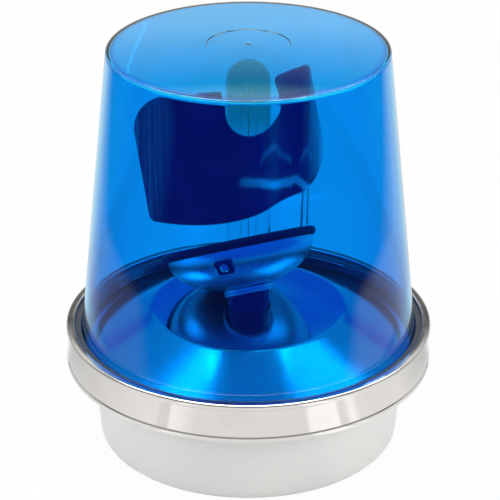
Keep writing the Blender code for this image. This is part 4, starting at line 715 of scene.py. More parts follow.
# %% Tubes and the hood's legs
def tube_along(name, path, radius, steps=16, reference=(0, 1, 0)):
    """A round tube: path + radius (cos a u + sin a v), u and v square to the path, closed at its ends."""
    path = np.asarray(path, float)
    along = np.gradient(path, axis=0)
    along /= np.linalg.norm(along, axis=1, keepdims=True)
    u = np.cross(along, np.asarray(reference, float))
    u /= np.linalg.norm(u, axis=1, keepdims=True)
    v = np.cross(along, u)
    a = np.linspace(0, 2 * np.pi, steps, endpoint=False)[None, :, None]
    ring = path[:, None] + radius * (np.cos(a) * u[:, None] + np.sin(a) * v[:, None])
    caps = [np.repeat(path[:1, None], steps, 1), np.repeat(path[-1:, None], steps, 1)]
    points = np.concatenate([caps[0], ring, caps[1]], 0)
    return surface(name, points, grid_faces(len(points), steps, False, True))


LEG_RADIUS = 0.0006
for number in (1, 2):
    low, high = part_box(f"hood_leg_{number}")
    solid = frame["nodes"][f"hood_leg_{number}"].data
    corner = np.array([v.co for v in solid.vertices])
    top = corner[corner[:, 2] > high.z - 0.0001].mean(0)
    foot = corner[corner[:, 2] < low.z + 0.0009].mean(0)
    bend = np.array([top[0], top[1], HOOD_LOW - GAP])
    knots = np.stack([foot, foot + (bend - foot) * 0.85, bend + (top - bend) * 0.25, top])
    leg = tube_along(f"hood_wire_{number}", smooth_path(knots, 10), LEG_RADIUS, 20, (1, 0, 0))
    show(leg, "reflector", "polished_steel", f"hood_leg_{number}")

# %% [markdown]
# A small clip is riveted to the bowl's front. It lies on the oval, so its grid is laid out in the bowl's
# own angles and then stood off the wall by the clip's thickness.

# %% Clip and rivet
CLIP_AROUND = math.radians(-99.0)
CLIP_DROP = 0.0072
CLIP_HALF_LENGTH = 0.0045
CLIP_HALF_WIDTH = 0.0032
CLIP_TOP = 0.0015
heading = bowl_place.inverted().to_3x3() @ Vector((math.cos(CLIP_AROUND), math.sin(CLIP_AROUND), 0))
clip_turn = math.atan2(heading.y, heading.x)
clip_down = math.asin(CLIP_DROP / BOWL_DEPTH)


def on_bowl(across, down, out):
    """A point off the bowl's wall: the oval grown by the distance out."""
    return bowl_point(clip_turn + across / BOWL_RADIUS, clip_down + down / BOWL_DEPTH, -out)


edge = rounded([(CLIP_HALF_LENGTH * x, CLIP_HALF_WIDTH * y, 0.0009)
                for x, y in ((1, -1), (1, 1), (-1, 1), (-1, -1))], 8)
edge_in = 1 - 0.0002 / CLIP_HALF_WIDTH
rows = ((0.0, GAP), (1.0, GAP), (1.0, CLIP_TOP - 0.0004), (edge_in, CLIP_TOP - 0.0001),
        (1 - 0.0005 / CLIP_HALF_WIDTH, CLIP_TOP), (0.55, CLIP_TOP), (0.50, CLIP_TOP - 0.0002),
        (0.0, CLIP_TOP - 0.0002))
points = np.stack([on_bowl(edge[:, 0] * scale, edge[:, 1] * scale, out) for scale, out in rows], 0)
clip = surface("bowl_clip", points, grid_faces(len(points), len(edge), False, True))
show(clip, "reflector", "dark_gloss", "reflector_clip")

rivet_spot, further_out = (Vector(on_bowl(np.array(0.0), np.array(0.0), out))
                           for out in (CLIP_TOP - 0.0002, CLIP_TOP + 0.0008))
rivet_out = (further_out - rivet_spot).normalized()
rivet_place = Matrix.Translation(rivet_spot) @ rivet_out.to_track_quat("Z", "Y").to_matrix().to_4x4()
rivet = turned("clip_rivet_head", rounded([
    (0, 0.0014, 0), (0.0012, 0.0012, 0.0006), (0.0021, 0.0004, 0.0004), (0.0021, 0, 0.0001),
    (0.0011, 0, 0.0001), (0.0011, -0.0026, 0.0001), (0.0019, -0.0027, 0.0001),
    (0.0017, -0.0034, 0.0003), (0, -0.0034, 0)], 5), 48)
show(moved(rivet, rivet_place), "reflector", "polished_steel", "clip_rivet")

# %% [markdown]
# The lamp is a long clear tube with a round tip and a narrow neck cemented in its brass base. Inside, a
# glass stem carries a support wire and a coiled filament in a hairpin. The glass has two faces a wall's
# thickness apart, so that it bends light as a thin bulb does.

# %% Lamp glass and stem
LAMP_WALL = 0.0006
LAMP_SHOULDER = 0.0880
LAMP_BASE_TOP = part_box("lamp_base")[1].z
LAMP_BASE_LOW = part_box("lamp_base")[0].z
NECK_RADIUS = 0.0071


def bulb_line(inset):
    """From the tip: a quarter circle, the straight tube, then half a cosine wave in to the neck."""
    a = np.radians(np.linspace(90, 0, 20))
    radius, neck = LAMP_RADIUS - inset, NECK_RADIUS - inset
    tip = np.stack([radius * np.cos(a), LAMP_TIP - LAMP_RADIUS + radius * np.sin(a)], -1)
    t = np.linspace(0, 1, 16)
    blend = (1 - np.cos(np.pi * t)) / 2
    taper = np.stack([radius + (neck - radius) * blend,
                      LAMP_SHOULDER + (LAMP_BASE_TOP - LAMP_SHOULDER) * t], -1)
    return np.concatenate([tip, taper, [(neck, LAMP_BASE_TOP - 0.0030)]])


bulb = turned("bulb", np.concatenate([bulb_line(0), bulb_line(LAMP_WALL)[::-1]]), 96)
show(bulb, "base", "clear_glass", "lamp_glass")

STEM_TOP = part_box("lamp_stem")[1].z
STEM_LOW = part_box("lamp_stem")[0].z
stem = turned("bulb_stem", rounded([
    (0, STEM_TOP, 0), (0.0022, STEM_TOP, 0.0012), (0.0022, STEM_LOW + 0.0060, 0.0030),
    (0.0052, STEM_LOW + 0.0012, 0.0010), (0.0052, STEM_LOW, 0.0004), (0, STEM_LOW, 0)], 8), 64)
show(stem, "base", "clear_glass", "lamp_stem")

# %% [markdown]
# The lamp's brass base, with the two pins that lock in the socket, was made from strip, so its upper edge
# is rolled and a shallow bead runs round it.

# %% Lamp base
BRASS_RADIUS = 0.0075
shell = turned("shell", rounded([
    (0, LAMP_BASE_LOW + 0.0012, 0), (0.0059, LAMP_BASE_LOW + 0.0012, 0.0003),
    (0.0059, LAMP_BASE_TOP - 0.0033, 0.0002), (NECK_RADIUS + GAP, LAMP_BASE_TOP - 0.0033, 0.0001),
    (NECK_RADIUS + GAP, LAMP_BASE_TOP, 0.00005), (BRASS_RADIUS, LAMP_BASE_TOP, 0.00005),
    (BRASS_RADIUS, LAMP_BASE_LOW + 0.0040, 0), (BRASS_RADIUS - 0.0002, LAMP_BASE_LOW + 0.0034, 0.0004),
    (BRASS_RADIUS, LAMP_BASE_LOW + 0.0028, 0), (BRASS_RADIUS, LAMP_BASE_LOW, 0.0006),
    (0, LAMP_BASE_LOW, 0),
], 4), 96)
pins = []
for side in (-1, 1):
    pin = turned("pin", rounded([(0, 0.0084, 0), (0.0009, 0.0084, 0.0003), (0.0009, 0.0070, 0),
                                 (0, 0.0070, 0)], 4), 24)
    pins.append(moved(pin, shift(z=LAMP_BASE_LOW + 0.0075) @ turn_about("Y", side * math.pi / 2)))
lamp_base = joined("lamp_shell", shell, *pins)
show(lamp_base, "base", "brass", "lamp_base")

# %% [markdown]
# The filament is fine wire wound into a coil, and the coil is bent into a hairpin: up one side, round a
# hook at the top and down the other. The coil's path is the hairpin plus a small circle that turns many
# times on the way.

# %% Support wire and filament
WIRE_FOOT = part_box("support_wire")[0].z
HOOK_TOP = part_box("filament")[1].z
SPREAD = 0.0036
COIL_RADIUS = 0.00036
COIL_PITCH = 0.0011
hook = HOOK_TOP - SPREAD - 0.0004

a = np.linspace(np.pi, 0, 40)
bend = np.stack([SPREAD * np.cos(a), 0.0009 * np.sin(a), hook + SPREAD * np.sin(a)], -1)
rise = np.linspace(WIRE_FOOT, hook, 60, endpoint=False)
up = np.stack([-SPREAD + 0 * rise, 0 * rise, rise], -1)
down = np.stack([SPREAD + 0 * rise, 0 * rise, rise], -1)[::-1]
hairpin = np.concatenate([up, bend, down])
length = np.concatenate([[0], np.cumsum(np.linalg.norm(np.diff(hairpin, axis=0), axis=1))])
turns = int(length[-1] / COIL_PITCH)
s = np.linspace(0, length[-1], turns * 10)
spine = np.stack([np.interp(s, length, hairpin[:, k]) for k in range(3)], -1)
along = np.gradient(spine, axis=0)
along /= np.linalg.norm(along, axis=1, keepdims=True)
across_coil = np.cross(along, (0, 1, 0))
across_coil /= np.linalg.norm(across_coil, axis=1, keepdims=True)
depth_coil = np.cross(along, across_coil)
phase = (2 * np.pi * s / COIL_PITCH)[:, None]
coil = spine + COIL_RADIUS * (np.cos(phase) * across_coil + np.sin(phase) * depth_coil)
filament = tube_along("coiled_filament", coil, 0.00010, 6, (0.123, 0.871, 0.475))
show(filament, "base", "tungsten", "filament")

wire_line = np.stack([0 * rise[:20], 0 * rise[:20], np.linspace(WIRE_FOOT, hook + SPREAD, 20)], -1)
support = tube_along("filament_support", wire_line, 0.0003, 12)
show(support, "base", "plated_steel", "support_wire")

# %% [markdown]
# Now the finishes. Real surfaces are never one flat colour: paint has a faint orange peel and soft
# mottling, spun metal has fine rings, and handled parts are smudged a little. Each effect is a node group
# built once. A group gives out only masks and heights, and the shader stays in the material.

# %% Node helpers
def new_group(name, inputs, outputs):
    """An empty shader node group with float sockets, and its two end nodes."""
    tree = bpy.data.node_groups.new(name, "ShaderNodeTree")
    for label, value in inputs:
        socket = tree.interface.new_socket(label, in_out="INPUT", socket_type="NodeSocketFloat")
        socket.default_value = value
    for label in outputs:
        tree.interface.new_socket(label, in_out="OUTPUT", socket_type="NodeSocketFloat")
    return tree, tree.nodes.new("NodeGroupInput"), tree.nodes.new("NodeGroupOutput")


def node(tree, kind, inputs=None, **settings):
    """Adds a node; each input is a plain value or the socket that feeds it."""
    made = tree.nodes.new(kind)
    for key, value in settings.items():
        setattr(made, key, value)
    for key, value in (inputs or {}).items():
        if isinstance(value, bpy.types.NodeSocket):
            tree.links.new(value, made.inputs[key])
        else:
            made.inputs[key].default_value = value
    return made


def math_node(tree, operation, *values):
    """A Math node's result for values or sockets."""
    return node(tree, "ShaderNodeMath", dict(enumerate(values)), operation=operation).outputs[0]


def chain(tree, operation, first, *others):
    """Several values worked out from the left, as in ((a * b) * c)."""
    for other in others:
        first = math_node(tree, operation, first, other)
    return first


def remap(tree, value, low, high, to_low=0.0, to_high=1.0):
    """Maps a range of a value to another range, clamped."""
    made = node(tree, "ShaderNodeMapRange", {"Value": value, "From Min": low, "From Max": high,
                                             "To Min": to_low, "To Max": to_high})
    return made.outputs["Result"]


print("helpers for nodes: group, node, math, chain and remap")

# %% [markdown]
# Three more read or mix what the first ones work with: colours, the place of a point on its object, and
# the parts of a vector.

# %% Colours and places in a material
def colour_mix(tree, share, low, high):
    """A Mix node for two colours, each a plain colour or a socket."""
    made = node(tree, "ShaderNodeMix", {"Factor": share}, data_type="RGBA")
    for key, value in (("A", low), ("B", high)):
        socket = [s for s in made.inputs if s.name == key and s.type == "RGBA"][0]
        if isinstance(value, bpy.types.NodeSocket):
            tree.links.new(value, socket)
        else:
            socket.default_value = value
    return [s for s in made.outputs if s.type == "RGBA"][0]


def object_spot(tree):
    """Where a point is on its own object, in metres."""
    return node(tree, "ShaderNodeTexCoord").outputs["Object"]


def split(tree, vector):
    """A vector's X, Y and Z."""
    return tuple(node(tree, "ShaderNodeSeparateXYZ", {"Vector": vector}).outputs)


print("helpers for materials: colour mix, place and split")


# %% [markdown]
# Mottle is slow, cloudy variation, and grain is fine texture. Both are noise on Object coordinates, so
# they have a real size in metres and stay where they are when the piece moves.

# %% Mottle and grain
mottle, ends_in, ends_out = new_group("mottle", [("Scale", 30.0), ("Contrast", 1.0)], ["Mask"])
spot = object_spot(mottle)
cloud = node(mottle, "ShaderNodeTexNoise", {"Vector": spot, "Scale": ends_in.outputs["Scale"],
                                            "Detail": 5.0, "Roughness": 0.6}).outputs[0]
centred = math_node(mottle, "MULTIPLY", math_node(mottle, "SUBTRACT", cloud, 0.5),
                    ends_in.outputs["Contrast"])
mask = math_node(mottle, "ADD", centred, 0.5)
mask.node.use_clamp = True
mottle.links.new(mask, ends_out.inputs["Mask"])

grain, ends_in, ends_out = new_group("grain", [("Scale", 900.0), ("Pits", 0.3)], ["Height"])
spot = object_spot(grain)
fine = node(grain, "ShaderNodeTexNoise", {"Vector": spot, "Scale": ends_in.outputs["Scale"],
                                          "Detail": 2.0, "Roughness": 0.5}).outputs[0]
pit = node(grain, "ShaderNodeTexVoronoi", {"Vector": spot, "Scale": ends_in.outputs["Scale"]},
           feature="SMOOTH_F1").outputs["Distance"]
pit = math_node(grain, "MULTIPLY", remap(grain, pit, 0.0, 0.25), ends_in.outputs["Pits"])
grain.links.new(math_node(grain, "ADD", fine, pit), ends_out.inputs["Height"])
print("groups:", [g.name for g in bpy.data.node_groups])

# %% [markdown]
# A lathe or a spinning tool leaves fine marks that run round the piece. Polar coordinates give them: the
# distance from the axis and the height change fast along the noise, and the angle slowly.

# %% Turning marks
marks, ends_in, ends_out = new_group("turning_marks", [("Fineness", 2500.0), ("Round", 3.0)],
                                     ["Height", "Mask"])
spot = object_spot(marks)
x, y, z = split(marks, spot)
radius = math_node(marks, "SQRT", math_node(
    marks, "ADD", math_node(marks, "MULTIPLY", x, x), math_node(marks, "MULTIPLY", y, y)))
turn_angle = math_node(marks, "ARCTAN2", y, x)
polar = node(marks, "ShaderNodeCombineXYZ", {
    "X": math_node(marks, "MULTIPLY", radius, ends_in.outputs["Fineness"]),
    "Y": math_node(marks, "MULTIPLY", turn_angle, ends_in.outputs["Round"]),
    "Z": math_node(marks, "MULTIPLY", z, ends_in.outputs["Fineness"])})
streak = node(marks, "ShaderNodeTexNoise", {"Vector": polar.outputs[0], "Scale": 1.0, "Detail": 3.0,
                                            "Roughness": 0.65}).outputs[0]
marks.links.new(streak, ends_out.inputs["Height"])
marks.links.new(remap(marks, streak, 0.35, 0.65), ends_out.inputs["Mask"])
print("turning marks give:", [socket.name for socket in ends_out.inputs if socket.name])

# %% [markdown]
# Every opaque finish is then the same short recipe: a colour that the mottle shifts between two close
# tones, a roughness that smudges vary, and a small bump. Only the numbers and the group that makes the
# bump differ, so one function writes them.

# %% Finish recipe
def mottled(tree, scale, contrast=1.0):
    """The mask of a mottle group, placed in a material at its own size and contrast."""
    return node(tree, "ShaderNodeGroup", {"Scale": scale, "Contrast": contrast},
                node_tree=mottle).outputs["Mask"]


def finish(name, tone, other_tone, metallic, rough, bump, mottle_scale, surface_group, values,
           distance=0.0001, coat=0.0, specular=0.5):
    """A Principled material: two tones mixed by mottle, roughness from rough[0] to rough[1], a bump."""
    material = bpy.data.materials.new(name)
    material.use_nodes = True
    tree = material.node_tree
    shader = tree.nodes["Principled BSDF"]
    colour = colour_mix(tree, mottled(tree, mottle_scale, 2.2), (*tone, 1), (*other_tone, 1))
    tree.links.new(colour, shader.inputs["Base Color"])
    texture = node(tree, "ShaderNodeGroup", values, node_tree=surface_group)
    smudge = mottled(tree, mottle_scale * 2.7, 2.6)
    tree.links.new(remap(tree, smudge, 0.0, 1.0, *rough), shader.inputs["Roughness"])
    relief = node(tree, "ShaderNodeBump", {"Height": texture.outputs["Height"], "Strength": bump,
                                           "Distance": distance})
    tree.links.new(relief.outputs["Normal"], shader.inputs["Normal"])
    shader.inputs["Metallic"].default_value = metallic
    shader.inputs["Coat Weight"].default_value = coat
    shader.inputs["Specular IOR Level"].default_value = specular
    return material


def wear(piece, *materials):
    """Gives a piece its finishes; each face keeps the number of its slot."""
    slots = np.zeros(len(piece.data.polygons), int)
    piece.data.polygons.foreach_get("material_index", slots)
    piece.data.materials.clear()
    for material in materials:
        piece.data.materials.append(material)
    piece.data.polygons.foreach_set("material_index", np.minimum(slots, len(materials) - 1))


print("every finish is mixed by:", mottle.name, "and roughened by:", grain.name, "or", marks.name)


# %% [markdown]
# The base's paint is a satin light grey with a fine orange peel. The clamp ring is polished stainless
# steel, bright but slightly warm, with faint rolling marks. The deck and the bowl are bright metal, and the
# deck's flat top is smoother than its cone. The hood and the sleeve get a dark glossy colour, and the bowl's
# rim and inside a dark dull one. Both are painted shade, standing for the dark reflections of their bright
# metal. A grain takes a scale and a share of pits, turning marks take a fineness.

# %% Paint, steel, bright metal, painted shade and a painted reflection
cast_paint = finish("cast_paint", (0.69, 0.70, 0.69), (0.73, 0.725, 0.71), 0.0, (0.36, 0.48), 0.25,
                    26.0, grain, {"Scale": 700.0, "Pits": 0.15}, 0.0003)
ring_steel = finish("ring_steel", (0.64, 0.62, 0.60), (0.69, 0.67, 0.65), 1.0, (0.04, 0.10), 0.03, 55.0,
                    marks, {"Fineness": 3000.0, "Round": 4.0})
bright_deck = finish("bright_deck", (0.54, 0.55, 0.57), (0.60, 0.61, 0.63), 1.0, (0.13, 0.19), 0.08,
                     38.0, marks, {"Fineness": 1600.0, "Round": 2.0})
smooth_deck = finish("smooth_deck", (0.60, 0.62, 0.65), (0.66, 0.68, 0.71), 1.0, (0.09, 0.14), 0.04,
                     38.0, marks, {"Fineness": 1600.0, "Round": 2.0})
bright_bowl = finish("bright_bowl", (0.66, 0.69, 0.74), (0.74, 0.77, 0.82), 0.9, (0.26, 0.36), 0.05,
                     48.0, marks, {"Fineness": 1200.0, "Round": 1.5})
# Dark gloss is painted shade on the hood and the sleeve: it stands for the dark reflections of bright metal.
dark_gloss = finish("dark_gloss", (0.0004, 0.001, 0.065), (0.001, 0.003, 0.100), 0.0, (0.05, 0.12), 0.03,
                    60.0, grain, {"Scale": 120.0, "Pits": 0.0}, coat=1.0, specular=0.1)
# The dull dark colour paints shade on the bowl's inside and rim, where bright metal would mirror its
# surroundings.
rim_and_inside_painted_shade = finish("rim_and_inside_painted_shade", (0.0004, 0.001, 0.040), (0.001, 0.003, 0.070), 0.0, (0.40, 0.55), 0.05,
                  60.0, grain, {"Scale": 400.0, "Pits": 0.1}, specular=0.1)
# The wires' white matt colour is a painted reflection: it stands for the bright surround that steel wire
# mirrors.
wire_painted_reflection = finish("wire_painted_reflection", (0.91, 0.91, 0.90), (0.95, 0.95, 0.94), 0.0, (0.40, 0.55), 0.05,
                     90.0, grain, {"Scale": 1200.0, "Pits": 0.1})
print("bright finishes:", [made.name for made in (ring_steel, bright_deck, smooth_deck, bright_bowl)])

# %% [markdown]
# Rubber, plated steel, brass, nylon and black plastic are the small parts' finishes. The leads are the
# same two plastics in black and white, and the filament is bare tungsten.

# %% Rubber, small metal parts, plastics and leads
rubber = finish("dark_rubber", (0.035, 0.036, 0.040), (0.060, 0.060, 0.064), 0.0, (0.55, 0.75), 0.3,
                90.0, grain, {"Scale": 1400.0, "Pits": 0.4}, 0.0002)
plated = finish("plated_steel", (0.60, 0.59, 0.56), (0.70, 0.68, 0.62), 1.0, (0.26, 0.42), 0.15, 70.0,
                grain, {"Scale": 1500.0, "Pits": 0.2})
brass = finish("brass", (0.62, 0.42, 0.16), (0.74, 0.56, 0.26), 1.0, (0.22, 0.38), 0.12, 65.0, grain,
               {"Scale": 1300.0, "Pits": 0.2})
nylon = finish("nylon", (0.74, 0.72, 0.66), (0.82, 0.81, 0.77), 0.0, (0.40, 0.55), 0.15, 50.0, grain,
               {"Scale": 900.0, "Pits": 0.2}, 0.0002)
black_plastic = finish("black_plastic", (0.020, 0.020, 0.022), (0.034, 0.034, 0.036), 0.0, (0.35, 0.5),
                       0.2, 60.0, grain, {"Scale": 1100.0, "Pits": 0.3}, 0.0002)
black_lead = finish("black_lead", (0.016, 0.016, 0.018), (0.030, 0.030, 0.032), 0.0, (0.35, 0.5), 0.15,
                    120.0, grain, {"Scale": 1200.0, "Pits": 0.2})
white_lead = finish("white_lead", (0.74, 0.74, 0.71), (0.82, 0.82, 0.80), 0.0, (0.35, 0.5), 0.15,
                    120.0, grain, {"Scale": 1200.0, "Pits": 0.2})
tungsten = finish("tungsten", (0.80, 0.80, 0.78), (0.88, 0.88, 0.86), 0.3, (0.3, 0.45), 0.1, 200.0,
                  grain, {"Scale": 3000.0, "Pits": 0.2})
print("small parts:", [made.name for made in (rubber, plated, brass, nylon, black_plastic, tungsten)])

# %% [markdown]
# Tinted plastic could be a volume that absorbs red, but a tint on both faces of the wall gives the same
# colour and renders clean. Shadow rays pass straight through with the same tint, so that the light gets
# in to the reflectors. The dome's top gets a paler tint than its wall, which is a painted reflection of
# the pale haze that the top mirrors. Clear glass for the lamp works the same way without the tint. It
# bends light less than real glass, because its edges don't show in the photograph.

# %% Clear finishes
def clear_finish(name, tint, passing, rough, bump, scale, ior):
    """Transmitting plastic or glass: its tint per wall, and what a shadow ray keeps at each face."""
    material = bpy.data.materials.new(name)
    material.use_nodes = True
    tree = material.node_tree
    shader = tree.nodes["Principled BSDF"]
    out = tree.nodes["Material Output"]
    cloudy = mottled(tree, 18.0, 1.6)
    colour = colour_mix(tree, cloudy, (*tint[0], 1), (*tint[1], 1))
    tree.links.new(colour, shader.inputs["Base Color"])
    tree.links.new(remap(tree, cloudy, 0.0, 1.0, *rough), shader.inputs["Roughness"])
    relief = node(tree, "ShaderNodeBump", {"Height": mottled(tree, scale), "Strength": bump,
                                           "Distance": 0.001})
    tree.links.new(relief.outputs["Normal"], shader.inputs["Normal"])
    shader.inputs["Transmission Weight"].default_value = 1.0
    shader.inputs["IOR"].default_value = ior
    through = node(tree, "ShaderNodeBsdfTransparent", {"Color": (*passing, 1)})
    shadow = node(tree, "ShaderNodeLightPath").outputs["Is Shadow Ray"]
    mixed = node(tree, "ShaderNodeMixShader", {0: shadow, 1: shader.outputs[0], 2: through.outputs[0]})
    tree.links.new(mixed.outputs[0], out.inputs["Surface"])
    return material


PLASTIC_IOR = 1.49
LAMP_IOR = 1.18
blue_dome = clear_finish("blue_dome", ((0.004, 0.50, 0.93), (0.004, 0.54, 0.95)), (0.07, 0.72, 0.97),
                         (0.0, 0.02), 0.02, 24.0, PLASTIC_IOR)
# The top's paler tint and its paler shadow tint are a painted reflection of the haze that the top mirrors.
blue_top_painted_reflection = clear_finish("blue_top_painted_reflection", ((0.008, 0.72, 0.97), (0.008, 0.76, 0.98)), (0.07, 0.78, 0.98),
                        (0.0, 0.02), 0.02, 24.0, PLASTIC_IOR)
clear_glass = clear_finish("clear_glass", ((0.96, 0.98, 0.99), (0.98, 0.99, 1.0)), (0.98, 0.99, 0.99),
                           (0.0, 0.01), 0.01, 60.0, LAMP_IOR)
print("clear finishes:", [made.name for made in (blue_dome, blue_top_painted_reflection, clear_glass)])

# %% [markdown]
# A lamp that has burnt for a while has a smoked upper end. The height on the glass picks how much of the
# smoke's colour is mixed in.

# %% Smoked end of the lamp's glass
SMOKE_HEIGHTS = (0.146, 0.158)
SMOKE = (0.80, 0.72, 0.62, 1)
tree = clear_glass.node_tree
glass_colour = tree.nodes["Principled BSDF"].inputs["Base Color"]
smoked = remap(tree, split(tree, object_spot(tree))[2], *SMOKE_HEIGHTS)
tree.links.new(colour_mix(tree, smoked, glass_colour.links[0].from_socket, SMOKE), glass_colour)
print("smoke starts", round(1000 * (LAMP_TIP - SMOKE_HEIGHTS[0]), 1), "mm below the lamp's tip")

# %% [markdown]
# Each piece now gets its finish. The CAD nodes that stay, such as the gears, the motor and the wiring
# under the deck, get the same finishes by name.

# %% Give the finishes
# The bowl's inside and rim take the dull dark colour, which is painted shade.
wear(bowl, bright_bowl, rim_and_inside_painted_shade)
wear(deck, bright_deck, smooth_deck)
wear(dome, blue_dome, blue_top_painted_reflection)
# The sleeve's tube takes the dark gloss, painted shade in place of its bright metal; its collar stays
# bright.
wear(sleeve, dark_gloss, bright_bowl)
# The hood's dark gloss is painted shade; the clip takes the same dark gloss.
for piece, material in (
        (base, cast_paint), (gasket, rubber), (ring, ring_steel),
        (clamp_screw, plated), (clamp_nut, plated),
        (hood, dark_gloss), (clip, dark_gloss), (rivet, ring_steel),
        (bulb, clear_glass), (stem, clear_glass), (lamp_base, brass), (filament, tungsten),
        # The steel wires' white matt colour is a painted reflection of the bright surround.
        (support, wire_painted_reflection), (bpy.data.objects["hood_wire_1"], wire_painted_reflection),
        (bpy.data.objects["hood_wire_2"], wire_painted_reflection)):
    wear(piece, material)

by_slot = {"cast_paint": cast_paint, "plated_steel": plated, "nylon": nylon, "brass": brass,
           "black_plastic": black_plastic, "black_lead": black_lead, "white_lead": white_lead,
           "polished_steel": ring_steel}
for row in frame["record"]["subparts"]:
    solid = frame["nodes"][row["node"]]
    if not solid.hide_render:
        wear(solid, by_slot[row["material_slot"]])
        print(row["node"], "keeps its CAD shape in", row["material_slot"])

# %% [markdown]
# The studio is a white floor that runs out of sight and a white surround. What polished metal and plastic
# mirror is arranged as a photographer would: white paper near the light and behind it, a dark room in
# front and above. Light Path tells the rays apart: one that was mirrored on its way has a Glossy Depth,
# and one that crossed plastic has a Transmission Depth, two for each wall. The plain white background
# isn't touched by any of this.

# %% Kinds of ray
TWO_WALLS = 4.0


def background_rays(tree):
    """Five answers, each 0 or 1, for a ray: it shows the background, it was mirrored, it was mirrored and
    left through plastic, it did that with two walls crossed in all, it met no plastic."""
    paths = node(tree, "ShaderNodeLightPath")
    seen = chain(tree, "MAXIMUM", paths.outputs["Is Camera Ray"], paths.outputs["Is Glossy Ray"],
                 paths.outputs["Is Transmission Ray"])
    mirrored = math_node(tree, "MINIMUM", paths.outputs["Glossy Depth"], 1.0)
    inside = math_node(tree, "MULTIPLY", mirrored, paths.outputs["Is Transmission Ray"])
    depth = paths.outputs["Transmission Depth"]
    deep = math_node(tree, "MULTIPLY", inside, math_node(tree, "COMPARE", depth, TWO_WALLS, 0.5))
    return seen, mirrored, inside, deep, math_node(tree, "LESS_THAN", depth, 0.5)


def blended(tree, low, high, share):
    """low + (high - low) * share, for values or sockets."""
    return math_node(tree, "ADD", low, math_node(tree, "MULTIPLY", math_node(
        tree, "SUBTRACT", high, low), share))


print("a ray that crossed two walls has the Transmission Depth", TWO_WALLS)


# %% [markdown]
# The floor is one big square. Its material needs to know where a spot is: its x and y, how far away from
# the light it stands, and its angle round from the front.

# %% Floor
floor_mesh = bpy.data.meshes.new("studio_floor")
floor_mesh.from_pydata([(-6, -6, 0), (6, -6, 0), (6, 6, 0), (-6, 6, 0)], [], [(0, 1, 2, 3)])
floor = bpy.data.objects.new("studio_floor", floor_mesh)
bpy.context.scene.collection.objects.link(floor)
white = bpy.data.materials.new("studio_white")
white.use_nodes = True
floor_mesh.materials.append(white)
tree = white.node_tree
matt = tree.nodes["Principled BSDF"]
matt.inputs["Base Color"].default_value = (0.80, 0.80, 0.80, 1)
matt.inputs["Roughness"].default_value = 0.9
matt.inputs["Specular IOR Level"].default_value = 0.0

seen, mirrored, inside, deep, _ = background_rays(tree)
spot = object_spot(tree)
x, y, _ = split(tree, spot)
away = node(tree, "ShaderNodeVectorMath", {0: spot}, operation="LENGTH").outputs["Value"]
from_front = math_node(tree, "ARCTAN2", x, math_node(tree, "MULTIPLY", y, -1.0))
print("floor:", [round(side, 1) for side in floor.dimensions], "m")

# %% [markdown]
# The clamp ring mirrors the floor close to it, so that part is white with brighter patches of paper, each
# at an angle from the front. A ray from the ring is short and one from the dome's wall is long, so the
# Ray Length keeps this bright floor out of the wall. The wall mirrors two paler wings at the sides and
# the floor behind, and is dark in front.

# %% What the ring and the dome's wall mirror
PATCHES = (
    (-180, 0.80), (-105, 0.72), (-90, 0.86), (-70, 1.03), (-45, 1.14), (-44.3, 1.00), (-39, 0.98),
    (-38, 1.32), (-32, 1.22), (-26, 1.05), (28.6, 1.06), (29.6, 1.42), (44, 1.50), (45, 1.05),
    (48.8, 1.08), (49.7, 1.40), (53, 1.35), (54, 1.08), (80, 1.05), (96, 0.84), (105, 0.72),
)
PATCH_TOP = max(light for _, light in PATCHES)
PATCH_LEAN = (0.107, 0.207, 0.8, 1.2)
RING_RAY = (0.215, 0.175)
FLOOR_DARK = 0.03
WINGS_START, WINGS_END = (0.232, 0.252), (0.44, 0.39)
WINGS_FRONT = (-0.16, -0.10)
WINGS_LIGHT = (-0.25, 0.25, 0.50, 0.95)
BACK_FRONT, BACK_SIDE = (0.02, 0.08), (0.36, 0.15)
BACK_MIDDLE, BACK_SPREAD = 0.05, 0.60

length = node(tree, "ShaderNodeLightPath").outputs["Ray Length"]
leaning = math_node(tree, "MULTIPLY", from_front, remap(tree, away, *PATCH_LEAN))
ramp = node(tree, "ShaderNodeValToRGB", {"Fac": remap(tree, leaning, -math.pi, math.pi)})
stops = ramp.color_ramp.elements
while len(stops) < len(PATCHES):
    stops.new(1.0)
for stop, (degrees, light) in zip(stops, PATCHES):
    stop.position = (degrees + 180) / 360
    stop.color = (*[light / PATCH_TOP] * 3, 1)
near = chain(tree, "MULTIPLY", remap(tree, length, *RING_RAY), ramp.outputs["Color"], PATCH_TOP)
wings = chain(tree, "MULTIPLY", remap(tree, away, *WINGS_END), remap(tree, away, *WINGS_START),
              remap(tree, y, *WINGS_FRONT), remap(tree, x, *WINGS_LIGHT))
sideways = math_node(tree, "ABSOLUTE", math_node(tree, "SUBTRACT", x, BACK_MIDDLE))
sideways = math_node(tree, "SUBTRACT", sideways, math_node(tree, "MULTIPLY", y, BACK_SPREAD))
back = math_node(tree, "MULTIPLY", remap(tree, y, *BACK_FRONT), remap(tree, sideways, *BACK_SIDE))
outer = chain(tree, "MAXIMUM", near, FLOOR_DARK, wings, back)
print("the ring mirrors", len(stops), "stops of paper")

# %% [markdown]
# Inside the dome, the bowl and the deck mirror a white floor near by and behind, and dark blue elsewhere.
# The hood's glossy face mirrors a rippled white card on the left and two thin curved strip lights on the
# right, which make its bright crescent.

# %% What the bowl, the deck and the hood mirror
DARK_BLUE = (0.01, 0.12, 0.66, 1)
INNER_NEAR, INNER_BACK = (0.250, 0.215), (0.06, 0.24)
CARD_X, CARD_Y, CARD_REACH = (-0.20, -0.27), -0.18, (0.26, 0.20)
CARD_RIPPLE = (0.42, 0.62, 0.2, 3.4)
ARCS = (((0.006, -0.024, 0.0), 0.308, 0.0085, -0.19, 6.0), ((0.0, 0.050, 0.0), 0.343, 0.0080, 0.00, 1.5))
ARC_X, ARC_END = (0.15, 0.20), (0.25, 0.20)

